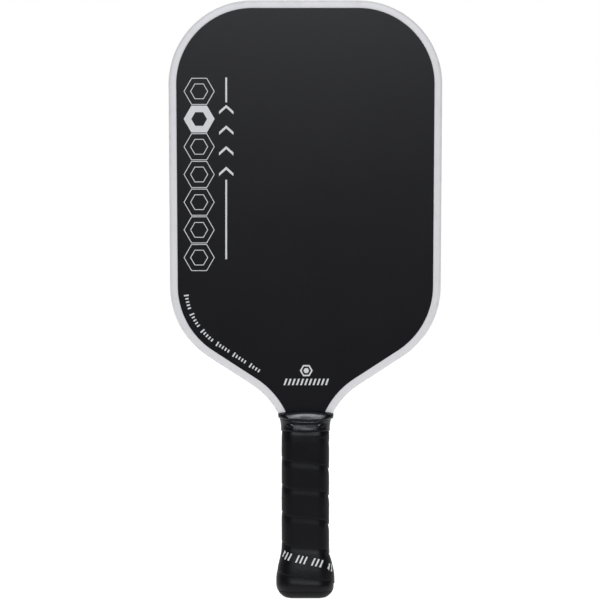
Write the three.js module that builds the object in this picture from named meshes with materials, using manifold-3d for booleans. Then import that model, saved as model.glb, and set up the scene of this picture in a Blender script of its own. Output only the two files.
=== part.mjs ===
// A pickleball paddle, as the separate pieces that it comes apart into on a bench.
// Millimetres. +Z runs from the butt end up the handle to the top of the blade, X is across the blade,
// and the blade is thin along Y. The front face looks along -Y. The origin is the middle of the butt end.
import * as THREE from "three";
import { mergeVertices } from "three/addons/utils/BufferGeometryUtils.js";
import Module from "manifold-3d";

const wasm = await Module();
wasm.setup();

// ---- Outline of the blade, measured at the outside of the edge guard ----
const LENGTH = 417.5; // 16.4 in overall
const HALF_WIDTH = 95.6; // 7.5 in across the widest place, where the top corners begin
const SIDE_TAPER = THREE.MathUtils.degToRad(0.44); // the sides lean in a little towards the handle
const TOP_CORNER_RADIUS = 58.6;
const LOWER_CORNER_RADIUS = 59.3;
const LOWER_CORNER_START = 217.7; // height where the straight side ends
const SHOULDER_ANGLE = THREE.MathUtils.degToRad(57.1); // shoulder line, from the vertical
const THROAT_RADIUS = 51.5;
const THROAT_HALF_WIDTH = 13.5; // where the throat has turned vertical
const OUTLINE_DIVISIONS = 8; // three.js puts twice as many chords on each arc
const OVERCUT = 1; // how far a cut reaches past the piece that it is made in

// ---- The panel: honeycomb core, glue films and face sheets ----
// These are multiples of an eighth, so that faces which touch have exactly the same coordinate.
const CORE_THICKNESS = 14.5;
const FILM_THICKNESS = 0.125;
const FACE_THICKNESS = 0.625;
const CORE_HALF = CORE_THICKNESS / 2;
const FILM_OUTSIDE = CORE_HALF + FILM_THICKNESS;
const PANEL_HALF = FILM_OUTSIDE + FACE_THICKNESS;
const CELL_PITCH = 16; // from cell to cell, across the flats
const CELL_WALL = 0.7;
const CELL_RIM = 0.9; // the wall left around the cells that the panel's edge cuts through
const PANEL_BOTTOM = 7.25; // the tang ends on the floor of the butt cap

// ---- Edge guard: a U-channel around the rim, bonded by a strip of adhesive ----
const GUARD_WEB = 1.2;
const GUARD_LIP = 1;
const GUARD_BAND = 5.4; // how much of the face the guard covers, its web included
const GUARD_HALF = PANEL_HALF + GUARD_LIP;
const GUARD_ROUND = 1.1; // size of the rounding on the guard's outer edges
const GUARD_END = 121.6; // its two ends stop under the grip collar
const SNUG = 0.1; // clearance between two curved pieces that are glued or stretched together
const ADHESIVE_THICKNESS = 0.5;
const ADHESIVE_INSET = GUARD_WEB + SNUG;
const PANEL_INSET = ADHESIVE_INSET + ADHESIVE_THICKNESS + SNUG;

// ---- Handle: an eight-sided section, whose sizes are those of the bare handle shells ----
const HANDLE_HALF_WIDTH = 14.6;
const HANDLE_HALF_DEPTH = 13;
const HANDLE_BEVEL = 3.9;
const BEVEL_GROWTH = 2 - Math.SQRT2; // how much a 45 degree bevel grows for each mm of offset
const CORNER_ROUNDING = 1.6; // length cut from each edge at a rounded corner
const SHELL_BOTTOM = 7.25;
const SHELL_SHOULDER = 121; // above this the shells slope down to the faces of the blade
const SHELL_TOP = 128;
const SHELL_TOP_THICKNESS = 0.4; // what is left of each shell over the glue at its thin top end
const SHELL_NARROWING = 0.25; // how much the sides come in for each mm that the slope drops
const SHELL_SHARPENING = 0.5; // how much the bevels shrink for each mm that the slope drops
const PAD_END_MARGIN = 2; // the shell adhesive stops this far from the ends of the tang
const PAD_SIDE_MARGIN = 1;
const SHELL_GLUE = 0.25;
const SHELL_FLOOR = PANEL_HALF + SHELL_GLUE;
const SLOT_CLEARANCE = 0.2;

// ---- Grip, from the shells outwards, as offsets of the handle section ----
const TAPE_INSIDE = 0.1;
const TAPE_OUTSIDE = 0.3;
const WRAP_INSIDE = 0.4;
const WRAP_OUTSIDE = 2;
const WRAP_PARED = 1; // the top end of the wrap is pared down to this offset, under the collar
const WRAP_BOTTOM = 5.4;
const WRAP_TOP = 120.8;
const TAPE_TOP = WRAP_TOP - 2;
const COLLAR_BOTTOM = 116.6;
const PARING = 0.4; // the wrap thins from this far below the collar's lower edge to as far above it
const FINISHING_TAPE_BOTTOM = COLLAR_BOTTOM + 1.4;
const FINISHING_TAPE_THICKNESS = 0.2;
const COLLAR_RISE = 2.2; // how much higher the collar's top edge is in the middle of each face

// ---- Butt cap: the handle flares to it, and its end is a dome with a flat middle ----
const FLARE = 3.8;
const FLARE_TOP = 36;
const FLARE_FULL = 13;
const DOME_HEIGHT = 11;
const DOME_END_OFFSET = -7.3; // offset of the flat end from the wrapped section
const DOME_EXPONENT = 2.2;
const CAP_RIM = 5; // the cap's rim stands out to cover the lower edge of the wrap
const CAP_TOP = 27;
const CAP_FLOOR = 7;
const TAPE_BOTTOM = CAP_TOP + 1;
const BADGE_RADIUS = 6.2;
const BADGE_THICKNESS = 0.8;
const BADGE_RECESS = 0.3; // how far the badge sits behind the flat end
const BADGE_SIDES = 32;

// ---- Heights at which the handle's curves are drawn ----
const DOME_STATIONS = [0, 0.4, 1.2, 2.4, 3.7, CAP_RIM];
const SKIRT_STATIONS = [CAP_RIM, 7, 9, DOME_HEIGHT, FLARE_FULL, 16.5, 20, 23.5, CAP_TOP];
const ROUND_STATIONS = [WRAP_BOTTOM, 6.4, 8, 10, 12, 13.5]; // the wrap's widest part, above its lower edge
const FLARE_STATIONS = [16, 18.5, 21, 23.5, 26, 29, 32, FLARE_TOP];
const STRAIGHT_STATIONS = [52, 70, 88, 106];

// ---- Staples that hold the butt cap on the shells ----
const STAPLE_CROWN = 9;
const STAPLE_LEG = 5.6;
const STAPLE_WIRE = 0.8;
const STAPLE_HEIGHT = 20.5;
const STAPLE_ACROSS = 6;
const STAPLE_DEPTH = 15.6; // distance of the crown's outside from the middle of the handle

const FINISHES = {
  carbon: { color: 0x2a292e, roughness: 0.62, metalness: 0.05 },
  glueFilm: { color: 0xc9b98a, roughness: 0.35, metalness: 0 },
  polypropylene: { color: 0xe9ecea, roughness: 0.45, metalness: 0 },
  guard: { color: 0xd9d9dc, roughness: 0.42, metalness: 0 },
  foamTape: { color: 0xf3f1ea, roughness: 0.8, metalness: 0 },
  shellFoam: { color: 0x4a4a4c, roughness: 0.85, metalness: 0 },
  capPlastic: { color: 0x1a1a1c, roughness: 0.38, metalness: 0 },
  gripLeather: { color: 0x1e1d21, roughness: 0.55, metalness: 0 },
  tape: { color: 0xb9a06a, roughness: 0.6, metalness: 0 },
  finishingTape: { color: 0x17171a, roughness: 0.2, metalness: 0 },
  rubber: { color: 0x141416, roughness: 0.28, metalness: 0 },
  steel: { color: 0xb8b9bb, roughness: 0.3, metalness: 1 },
};

const paddle = new THREE.Group();

// Adds one named piece to the paddle.
function addPiece(name, geometry, finish) {
  const mesh = new THREE.Mesh(geometry, new THREE.MeshStandardMaterial(finish));
  mesh.name = name;
  paddle.add(mesh);
}

// ---- Booleans ----

function solidOf(geometry) {
  const bare = geometry.clone();
  bare.deleteAttribute("normal");
  bare.deleteAttribute("uv");
  const merged = mergeVertices(bare, 1e-4);
  const vertProperties = merged.getAttribute("position").array;
  const triVerts = new Uint32Array(merged.index.array);
  return new wasm.Manifold(new wasm.Mesh({ numProp: 3, vertProperties, triVerts }));
}

function geometryOf(solid) {
  const { vertProperties, triVerts } = solid.getMesh();
  const geometry = new THREE.BufferGeometry();
  geometry.setAttribute("position", new THREE.BufferAttribute(vertProperties, 3));
  geometry.setIndex(new THREE.BufferAttribute(triVerts, 1));
  return geometry;
}

// A box between two corners, as a solid.
function boxSolid(low, high) {
  const box = new THREE.BoxGeometry(...high.map((value, axis) => value - low[axis]));
  box.translate(...high.map((value, axis) => (value + low[axis]) / 2));
  return solidOf(box);
}

// ---- Lofts ----

// Joins rings of points, each with as many points as the next. An open run of rings gets a flat cap at each end,
// and a closed one joins its last ring to its first, as a tube with thick walls does.
function loft(rings, closed = false) {
  const count = rings[0].length;
  const positions = rings.flat().flatMap((point) => [point.x, point.y, point.z]);
  const index = [];
  const spans = closed ? rings.length : rings.length - 1;
  for (let ring = 0; ring < spans; ring++) {
    for (let i = 0; i < count; i++) {
      const next = (i + 1) % count;
      const [a, b] = [ring * count + i, ring * count + next];
      const above = ((ring + 1) % rings.length) * count;
      const [c, d] = [above + i, above + next];
      index.push(a, b, d, a, d, c);
    }
  }
  if (!closed) {
    for (const [ring, flip] of [[0, true], [rings.length - 1, false]]) {
      const flat = rings[ring].map((point) => flatPoint(point, rings[ring]));
      for (const [a, b, c] of THREE.ShapeUtils.triangulateShape(flat, [])) {
        const [p, q, r] = [a, b, c].map((i) => ring * count + i);
        index.push(...(flip ? [r, q, p] : [p, q, r]));
      }
    }
  }
  const geometry = new THREE.BufferGeometry();
  geometry.setAttribute("position", new THREE.Float32BufferAttribute(positions, 3));
  geometry.setIndex(index);
  return outwards(geometry);
}

// A cap's point in the two directions of its own plane, so that it can be triangulated.
function flatPoint(point, ring) {
  const across = new THREE.Vector3().subVectors(ring[1], ring[0]).normalize();
  const normal = new THREE.Vector3();
  for (let i = 0; i < ring.length; i++) {
    normal.add(new THREE.Vector3().crossVectors(ring[i], ring[(i + 1) % ring.length]));
  }
  normal.normalize();
  const along = new THREE.Vector3().crossVectors(normal, across);
  return new THREE.Vector2(point.dot(across), point.dot(along));
}

// Turns a geometry's faces round if they look inwards.
function outwards(geometry) {
  const position = geometry.getAttribute("position");
  const corner = [0, 1, 2].map(() => new THREE.Vector3());
  const index = geometry.index.array;
  let volume = 0;
  for (let i = 0; i < index.length; i += 3) {
    corner.forEach((vector, k) => vector.fromBufferAttribute(position, index[i + k]));
    volume += corner[0].dot(corner[1].clone().cross(corner[2]));
  }
  if (volume < 0) geometry.index.array.reverse();
  return geometry;
}

// ---- The blade's outline ----

const topCornerX = HALF_WIDTH - TOP_CORNER_RADIUS;
const topCornerZ = LENGTH - TOP_CORNER_RADIUS;
const sideDrop = topCornerZ - LOWER_CORNER_START;
const lowerCornerX =
  HALF_WIDTH - sideDrop * Math.tan(SIDE_TAPER) - LOWER_CORNER_RADIUS * Math.cos(SIDE_TAPER);
const lowerCornerZ = LOWER_CORNER_START + LOWER_CORNER_RADIUS * Math.sin(SIDE_TAPER);
const throatX = THROAT_HALF_WIDTH + THROAT_RADIUS;
// The shoulder line touches the lower corner's arc and the throat's arc, which curve opposite ways.
const shoulderRun = throatX - lowerCornerX - (LOWER_CORNER_RADIUS + THROAT_RADIUS) * Math.cos(SHOULDER_ANGLE);
const throatZ =
  lowerCornerZ -
  (LOWER_CORNER_RADIUS + THROAT_RADIUS) * Math.sin(SHOULDER_ANGLE) +
  shoulderRun / Math.tan(SHOULDER_ANGLE);

// The paddle's outline, taken in from the guard's outside by inset, from the right throat round to the left one.
// throatAngle is where on the throat's arc it starts: half a turn is where the throat is vertical.
function rimPath(inset, throatAngle) {
  const path = new THREE.Path();
  const throat = THROAT_RADIUS + inset;
  const lower = LOWER_CORNER_RADIUS - inset;
  const upper = TOP_CORNER_RADIUS - inset;
  const turn = Math.PI;
  path.absarc(throatX, throatZ, throat, throatAngle, turn - SHOULDER_ANGLE, true);
  path.absarc(lowerCornerX, lowerCornerZ, lower, -SHOULDER_ANGLE, -SIDE_TAPER, false);
  path.absarc(topCornerX, topCornerZ, upper, -SIDE_TAPER, turn / 2, false);
  path.absarc(-topCornerX, topCornerZ, upper, turn / 2, turn + SIDE_TAPER, false);
  path.absarc(-lowerCornerX, lowerCornerZ, lower, turn + SIDE_TAPER, turn + SHOULDER_ANGLE, false);
  path.absarc(-throatX, throatZ, throat, SHOULDER_ANGLE, turn - throatAngle, true);
  return path;
}

// The panel's whole outline: the rim, and the tang down to bottom.
function panelShape(inset, bottom) {
  const points = rimPath(inset, Math.PI).getPoints(OUTLINE_DIVISIONS);
  const half = THROAT_HALF_WIDTH - inset;
  return new THREE.Shape([new THREE.Vector2(half, bottom), ...points, new THREE.Vector2(-half, bottom)]);
}

// A plate of the paddle's outline, between two values of Y.
function panelPlate(shape, near, far) {
  const plate = new THREE.ExtrudeGeometry(shape, { depth: far - near, bevelEnabled: false });
  plate.rotateX(Math.PI / 2);
  plate.translate(0, far, 0);
  return plate;
}

// A strip swept round the rim. Its section is a list of [inset, y] corners.
function rimStrip(section) {
  const angle = Math.PI - Math.asin((GUARD_END - throatZ) / THROAT_RADIUS);
  const lines = section.map(([inset]) => rimPath(inset, angle).getPoints(OUTLINE_DIVISIONS));
  const rings = lines[0].map((_, station) =>
    section.map(([, y], corner) => {
      const { x, y: z } = lines[corner][station];
      return new THREE.Vector3(x, y, z);
    }),
  );
  return loft(rings);
}

// ---- The handle's section ----

// A rounded octagon at height z. Each corner is a short quadratic curve.
function octagon(halfWidth, halfDepth, bevel, z) {
  const [a, b] = [halfWidth, halfDepth];
  const [a1, b1] = [halfWidth - bevel, halfDepth - bevel];
  const corners = [
    [a, -b1], [a, b1], [a1, b], [-a1, b], [-a, b1], [-a, -b1], [-a1, -b], [a1, -b],
  ].map(([x, y]) => new THREE.Vector2(x, y));
  return corners.flatMap((corner, i) => {
    const before = corners[(i + corners.length - 1) % corners.length];
    const after = corners[(i + 1) % corners.length];
    const pull = (other) => {
      const edge = other.clone().sub(corner);
      return corner.clone().addScaledVector(edge, Math.min(0.45, CORNER_ROUNDING / edge.length()));
    };
    const curve = new THREE.QuadraticBezierCurve(pull(before), corner, pull(after));
    return curve.getPoints(2).map((point) => new THREE.Vector3(point.x, point.y, z));
  });
}

// The handle's section at height z, grown by offset on every side.
function handleRing(offset, z) {
  const bevel = Math.max(1.2, HANDLE_BEVEL + BEVEL_GROWTH * offset);
  return octagon(HANDLE_HALF_WIDTH + offset, HANDLE_HALF_DEPTH + offset, bevel, z);
}

// How far the wrapped handle stands out at height z, beyond its straight part.
function flareAt(z) {
  const t = THREE.MathUtils.clamp((FLARE_TOP - z) / (FLARE_TOP - FLARE_FULL), 0, 1);
  const flare = FLARE * t * t * (3 - 2 * t);
  const drop = THREE.MathUtils.clamp((DOME_HEIGHT - z) / DOME_HEIGHT, 0, 1);
  const dome = (1 - drop ** DOME_EXPONENT) ** (1 / DOME_EXPONENT);
  return DOME_END_OFFSET + (flare - DOME_END_OFFSET) * dome;
}

// A sleeve round the handle between two offsets. Both follow the flare.
function handleSleeve(heights, inside, outside) {
  const outer = heights.map((z) => handleRing(outside + flareAt(z), z));
  const inner = heights.map((z) => handleRing(inside + flareAt(z), z)).reverse();
  return loft([...outer, ...inner], true);
}

// ---- Pieces of the panel ----

// Whether a point lies inside a closed outline: a ray from it crosses the outline an odd number of times.
function isInside(point, outline) {
  let inside = false;
  outline.forEach((a, i) => {
    const b = outline[(i + 1) % outline.length];
    const crosses = a.y > point.y !== b.y > point.y;
    if (crosses && point.x < ((b.x - a.x) * (point.y - a.y)) / (b.y - a.y) + a.x) inside = !inside;
  });
  return inside;
}

// The outlines of the honeycomb's open cells, one for each cell whose middle lies inside the outline.
function honeycombCells(outline) {
  const radius = (CELL_PITCH - CELL_WALL) / Math.sqrt(3);
  const rise = (CELL_PITCH * Math.sqrt(3)) / 2;
  const columns = Math.ceil(HALF_WIDTH / CELL_PITCH);
  const rows = Math.ceil(LENGTH / rise);
  const cells = [];
  for (let row = 0; row <= rows; row++) {
    for (let column = -columns; column <= columns; column++) {
      const middle = new THREE.Vector2((column + (row % 2) / 2) * CELL_PITCH, PANEL_BOTTOM + row * rise);
      const corners = [0, 1, 2, 3, 4, 5].map((side) => {
        const angle = ((side + 0.5) * Math.PI) / 3;
        return new THREE.Vector2(radius * Math.cos(angle), radius * Math.sin(angle)).add(middle);
      });
      if (isInside(middle, outline)) cells.push(new THREE.Shape(corners));
    }
  }
  return cells;
}

// The core is one sheet of cells, open on both faces. The cells at its edge are cut through, and a wall closes them.
function addCore() {
  const limit = panelShape(PANEL_INSET + CELL_RIM, PANEL_BOTTOM + CELL_RIM);
  const past = CORE_HALF + OVERCUT;
  const cells = solidOf(panelPlate(honeycombCells(limit.getPoints()), -past, past));
  const open = cells.intersect(solidOf(panelPlate(limit, -past, past)));
  const sheet = solidOf(panelPlate(panelShape(PANEL_INSET, PANEL_BOTTOM), -CORE_HALF, CORE_HALF));
  addPiece("honeycomb_core", geometryOf(sheet.subtract(open)), FINISHES.polypropylene);
}

function addFaceLayers() {
  const outline = panelShape(PANEL_INSET, PANEL_BOTTOM);
  const layers = [
    ["adhesive_film", CORE_HALF, FILM_OUTSIDE, FINISHES.glueFilm],
    ["face_sheet", FILM_OUTSIDE, PANEL_HALF, FINISHES.carbon],
  ];
  for (const [name, near, far, finish] of layers) {
    addPiece(`front_${name}`, panelPlate(outline, -far, -near), finish);
    addPiece(`rear_${name}`, panelPlate(outline, near, far), finish);
  }
}

// ---- Edge guard and its adhesive ----

function guardSection() {
  const half = GUARD_HALF;
  const round = GUARD_ROUND;
  const side = [
    [0, half - 2 * round],
    [round / 4, half - round / 1.4],
    [round, half - round / 6],
    [2 * round, half],
    [GUARD_BAND - round / 2, half],
    [GUARD_BAND, half - round / 2],
    [GUARD_BAND, PANEL_HALF],
    [GUARD_WEB, PANEL_HALF],
  ];
  return [...side, ...side.map(([inset, y]) => [inset, -y]).reverse()];
}

function addEdgeGuard() {
  addPiece("edge_guard", rimStrip(guardSection()), FINISHES.guard);
  const half = PANEL_HALF - SNUG;
  const [near, far] = [ADHESIVE_INSET, ADHESIVE_INSET + ADHESIVE_THICKNESS];
  const section = [[near, half], [far, half], [far, -half], [near, -half]];
  addPiece("edge_guard_adhesive", rimStrip(section), FINISHES.foamTape);
}

// ---- Handle shells ----

// The room that the ends of the edge guard need between the shells.
function guardRoom() {
  const [near, far] = [-SLOT_CLEARANCE, GUARD_BAND + SLOT_CLEARANCE];
  const half = GUARD_HALF + SLOT_CLEARANCE;
  const strip = solidOf(rimStrip([[near, half], [far, half], [far, -half], [near, -half]]));
  const below = boxSolid([-HALF_WIDTH, -half, GUARD_END - OVERCUT], [HALF_WIDTH, half, GUARD_END + OVERCUT]);
  const ends = solidOf(panelPlate(panelShape(near, PANEL_BOTTOM), -half, half)).intersect(below);
  return strip.add(ends);
}

// Both shells as one block, before the tang's slot is cut. Its top end slopes in to the blade.
function handleBlock() {
  const slope = [
    [SHELL_BOTTOM, 0],
    [SHELL_SHOULDER, 0],
    [SHELL_TOP, HANDLE_HALF_DEPTH - SHELL_FLOOR - SHELL_TOP_THICKNESS],
  ];
  const rings = slope.map(([z, drop]) => {
    const halfWidth = HANDLE_HALF_WIDTH - SHELL_NARROWING * drop;
    return octagon(halfWidth, HANDLE_HALF_DEPTH - drop, HANDLE_BEVEL - SHELL_SHARPENING * drop, z);
  });
  return solidOf(loft(rings));
}

// The staple's outline: a crown with two legs, which point along -Y here.
function stapleShape(grow) {
  const half = STAPLE_CROWN / 2 + grow;
  const inner = STAPLE_CROWN / 2 - STAPLE_WIRE - grow;
  const foot = -STAPLE_LEG - grow;
  return new THREE.Shape(
    [
      [-half, grow], [-half, foot], [-inner, foot], [-inner, -STAPLE_WIRE - grow],
      [inner, -STAPLE_WIRE - grow], [inner, foot], [half, foot], [half, grow],
    ].map(([x, y]) => new THREE.Vector2(x, y)),
  );
}

const STAPLE_PLACES = [-1, 1].flatMap((face) => [-1, 1].map((side) => ({ face, side })));

// A staple in place in the cap, or the hole that it needs if grow is over zero.
function stapleGeometry({ face, side }, grow = 0) {
  const depth = STAPLE_WIRE + 2 * grow;
  const staple = new THREE.ExtrudeGeometry(stapleShape(grow), { depth, bevelEnabled: false });
  staple.translate(0, STAPLE_DEPTH, STAPLE_HEIGHT - depth / 2);
  if (face < 0) staple.rotateZ(Math.PI);
  staple.translate(side * STAPLE_ACROSS, 0, 0);
  return staple;
}

// Everything that the four staples take out of the pieces they go through, with a slot above each crown.
function stapleHoles() {
  const half = STAPLE_CROWN / 2 + SNUG;
  const tall = STAPLE_WIRE / 2 + SNUG;
  const holes = STAPLE_PLACES.map((place) => {
    const middle = place.side * STAPLE_ACROSS;
    const ends = [place.face * STAPLE_DEPTH, place.face * (STAPLE_DEPTH + FLARE)];
    const slot = boxSolid(
      [middle - half, Math.min(...ends), STAPLE_HEIGHT - tall],
      [middle + half, Math.max(...ends), STAPLE_HEIGHT + tall],
    );
    return solidOf(stapleGeometry(place, SNUG)).add(slot);
  });
  return holes.reduce((all, hole) => all.add(hole));
}

function addHandleShells(holes) {
  const slot = solidOf(
    panelPlate(panelShape(PANEL_INSET - SLOT_CLEARANCE, 0), -SHELL_FLOOR, SHELL_FLOOR),
  );
  const both = handleBlock().subtract(slot).subtract(guardRoom()).subtract(holes);
  const far = HALF_WIDTH;
  const front = both.intersect(boxSolid([-far, -far, 0], [far, 0, LENGTH]));
  const rear = both.intersect(boxSolid([-far, 0, 0], [far, far, LENGTH]));
  addPiece("front_handle_shell", geometryOf(front), FINISHES.shellFoam);
  addPiece("rear_handle_shell", geometryOf(rear), FINISHES.shellFoam);
}

// The adhesive pads that bond each shell to the face of the tang.
function addShellAdhesive() {
  const half = THROAT_HALF_WIDTH - PANEL_INSET - PAD_SIDE_MARGIN;
  const [low, high] = [SHELL_BOTTOM + PAD_END_MARGIN, GUARD_END - PAD_END_MARGIN];
  for (const [name, side] of [["front", -1], ["rear", 1]]) {
    const pad = new THREE.BoxGeometry(2 * half, SHELL_GLUE, high - low);
    pad.translate(0, side * (PANEL_HALF + SHELL_GLUE / 2), (low + high) / 2);
    addPiece(`${name}_shell_adhesive`, pad, FINISHES.glueFilm);
  }
}

// ---- Butt cap, badge and staples ----

function addButtCap(holes) {
  const wrapped = (z) => handleRing(WRAP_OUTSIDE + flareAt(z), z);
  const underWrap = (z) => handleRing(WRAP_INSIDE - SNUG + flareAt(z), z);
  const outside = solidOf(loft([...DOME_STATIONS.map(wrapped), ...SKIRT_STATIONS.map(underWrap)]));
  const pocket = solidOf(loft([CAP_FLOOR, CAP_TOP + OVERCUT].map((z) => handleRing(SLOT_CLEARANCE, z))));
  const recessRadius = BADGE_RADIUS + SNUG;
  const recessTop = BADGE_RECESS + BADGE_THICKNESS;
  const recess = new THREE.CylinderGeometry(recessRadius, recessRadius, 2 * recessTop, BADGE_SIDES);
  recess.rotateX(Math.PI / 2);
  const cap = outside.subtract(pocket).subtract(solidOf(recess)).subtract(holes);
  addPiece("butt_cap", geometryOf(cap), FINISHES.capPlastic);

  const badge = new THREE.CylinderGeometry(BADGE_RADIUS, BADGE_RADIUS, BADGE_THICKNESS, BADGE_SIDES);
  badge.rotateX(Math.PI / 2).translate(0, 0, BADGE_RECESS + BADGE_THICKNESS / 2);
  addPiece("butt_badge", badge, FINISHES.guard);
}

function addStaples() {
  STAPLE_PLACES.forEach((place, i) => {
    addPiece(`butt_cap_staple_${i + 1}`, stapleGeometry(place), FINISHES.steel);
  });
}

// ---- Grip ----

function addGrip() {
  const upperFlare = FLARE_STATIONS.filter((z) => z > TAPE_BOTTOM);
  const underlay = [TAPE_BOTTOM, ...upperFlare, ...STRAIGHT_STATIONS, TAPE_TOP];
  addPiece("grip_tape", handleSleeve(underlay, TAPE_INSIDE, TAPE_OUTSIDE), FINISHES.tape);

  const heights = [...ROUND_STATIONS, ...FLARE_STATIONS, ...STRAIGHT_STATIONS, COLLAR_BOTTOM - PARING];
  const outer = heights.map((z) => handleRing(WRAP_OUTSIDE + flareAt(z), z));
  const pared = [COLLAR_BOTTOM + PARING, WRAP_TOP].map((z) => handleRing(WRAP_PARED, z));
  const inner = [...heights, WRAP_TOP].map((z) => handleRing(WRAP_INSIDE + flareAt(z), z)).reverse();
  addPiece("grip_wrap", loft([...outer, ...pared, ...inner], true), FINISHES.gripLeather);
}

// A turn and a half of tape that holds down the end of the wrap, hidden by the collar.
function addFinishingTape() {
  const inside = WRAP_PARED + SNUG;
  const tape = handleSleeve([FINISHING_TAPE_BOTTOM, WRAP_TOP], inside, inside + FINISHING_TAPE_THICKNESS);
  addPiece("finishing_tape", tape, FINISHES.finishingTape);
}

// The collar changes from the grip's octagon to the flat, wide section of the throat. It has a bead at its lower
// edge, a body, a crease, and a shoulder that slopes in to the faces of the blade. Each station is
// [z, half width, half depth, bevel], and its middle stands higher the nearer it is to the top.
function addCollar() {
  const outside = [
    [COLLAR_BOTTOM, 16.9, 15.2, 5.2],
    [117.3, 17.1, 15.5, 5.3],
    [118.8, 17.1, 15.5, 5.3],
    [120.4, 17.3, 15.2, 5.2],
    [122.8, 18, 14.4, 4.9],
    [123.2, 18, 14.2, 4.8],
    [123.7, 18.4, 14.4, 4.9],
    [124.8, 18.9, 14, 4.8],
    [126.4, 19.4, 12.8, 4.3],
    [128, 19.6, 11.5, 3.6],
    [129.2, 19.4, 10.5, 2.8],
  ];
  const inside = [
    [COLLAR_BOTTOM + 0.2, 16.7, 15, 5.1],
    [117.3, 16.05, 14.45, 4.8],
    [121, 16.2, 14.5, 4.8],
    [123, 17, 13, 4.2],
    [125.4, 18.1, 11.6, 3.2],
    [127.4, 18.8, 10.4, 2.2],
    [129, 19.25, 9.6, 1.2],
  ];
  const ring = ([z, halfWidth, halfDepth, bevel]) => {
    const near = THREE.MathUtils.smoothstep(z, WRAP_TOP, outside.at(-1)[0]);
    return octagon(halfWidth, halfDepth, bevel, z).map((point) => {
      point.z += COLLAR_RISE * near * (1 - (point.x / halfWidth) ** 2);
      return point;
    });
  };
  const collar = loft([...outside.map(ring), ...inside.map(ring).reverse()], true);
  addPiece("grip_collar", collar, FINISHES.rubber);
}

const holes = stapleHoles();
addCore();
addFaceLayers();
addEdgeGuard();
addShellAdhesive();
addHandleShells(holes);
addButtCap(holes);
addStaples();
addGrip();
addFinishingTape();
addCollar();

export default paddle;
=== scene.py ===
"""A pickleball paddle: carbon faces, white edge guard, spiral-wrapped grip, rubber collar and butt cap."""

import logging
import math
from dataclasses import dataclass, field
from enum import Enum
from typing import Callable, Iterable, Sequence

import bpy
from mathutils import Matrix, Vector, noise


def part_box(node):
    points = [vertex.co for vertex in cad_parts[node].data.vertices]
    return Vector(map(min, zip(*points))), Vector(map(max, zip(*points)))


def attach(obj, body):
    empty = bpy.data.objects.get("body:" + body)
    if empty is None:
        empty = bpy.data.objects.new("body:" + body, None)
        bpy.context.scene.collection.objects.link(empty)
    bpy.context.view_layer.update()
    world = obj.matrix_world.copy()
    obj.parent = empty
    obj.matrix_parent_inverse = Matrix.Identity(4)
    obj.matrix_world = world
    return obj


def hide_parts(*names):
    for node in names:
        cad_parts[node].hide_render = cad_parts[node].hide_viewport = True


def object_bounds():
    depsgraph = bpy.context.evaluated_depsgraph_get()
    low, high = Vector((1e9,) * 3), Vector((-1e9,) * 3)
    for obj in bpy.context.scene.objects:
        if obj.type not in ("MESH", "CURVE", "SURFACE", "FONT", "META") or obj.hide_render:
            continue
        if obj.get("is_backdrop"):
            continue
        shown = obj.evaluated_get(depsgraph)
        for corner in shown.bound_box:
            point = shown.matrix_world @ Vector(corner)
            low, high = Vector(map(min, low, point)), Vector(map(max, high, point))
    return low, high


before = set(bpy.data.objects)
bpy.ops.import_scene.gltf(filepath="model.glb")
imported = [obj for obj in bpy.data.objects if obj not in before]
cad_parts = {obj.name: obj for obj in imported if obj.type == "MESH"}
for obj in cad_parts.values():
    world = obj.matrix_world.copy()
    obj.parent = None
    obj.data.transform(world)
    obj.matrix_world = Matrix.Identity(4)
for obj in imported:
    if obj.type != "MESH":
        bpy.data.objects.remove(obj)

MM = 0.001
BODY = "root"
GRIT = 0.35 * MM
SIDES = 8
SIDE_TURN = 2 * math.pi / SIDES

Point2 = tuple[float, float]
Point3 = tuple[float, float, float]
Colour = tuple[float, float, float]
Faces = list[tuple[int, ...]]
Lay = Callable[[float, float, float], Point3]

log = logging.getLogger("paddle")


# ---------------------------------------------------------------- numbers


def smoothstep(low: float, high: float, value: float) -> float:
    """Eases from 0 at low to 1 at high.

    Args:
        low: where the ease begins.
        high: where it ends.
        value: the place to look at.

    Returns:
        A share from 0 to 1.
    """
    t = min(1.0, max(0.0, (value - low) / (high - low)))
    return t * t * (3 - 2 * t)


def lerp(a: float, b: float, t: float) -> float:
    """Goes from a to b as t goes from 0 to 1."""
    return a + (b - a) * t


def rounding(distance: float, radius: float) -> float:
    """The height of a rounded edge of that radius, as a share of it, at a distance in from the edge."""
    t = min(1.0, max(0.0, distance / radius))
    return math.sqrt(max(0.0, 1 - (1 - t) ** 2))


def ripple(point: Sequence[float], size: float, seed: float = 0.0) -> float:
    """Smooth noise from -1 to 1 at a point, with lumps of about that size."""
    return noise.noise(Vector(point) / size + Vector((seed, seed * 1.7, seed * 0.3)))


def spline(stations: Sequence[Sequence[float]], t: float) -> list[float]:
    """A smooth curve through rows of numbers.

    Args:
        stations: the rows, which all have the same length.
        t: where on the curve, from 0 at the first row to 1 at the last.

    Returns:
        The row at t, by a Catmull-Rom spline.
    """
    last = len(stations) - 1
    place = min(max(t, 0.0), 1.0) * last
    i = min(int(place), last - 1)
    u = place - i
    rows = [stations[min(max(i + k, 0), last)] for k in (-1, 0, 1, 2)]
    return [
        0.5 * (2 * b + (c - a) * u + (2 * a - 5 * b + 4 * c - d) * u * u + (3 * b - a - 3 * c + d) * u**3)
        for a, b, c, d in zip(*rows)
    ]


# ---------------------------------------------------------------- shader maths


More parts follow.
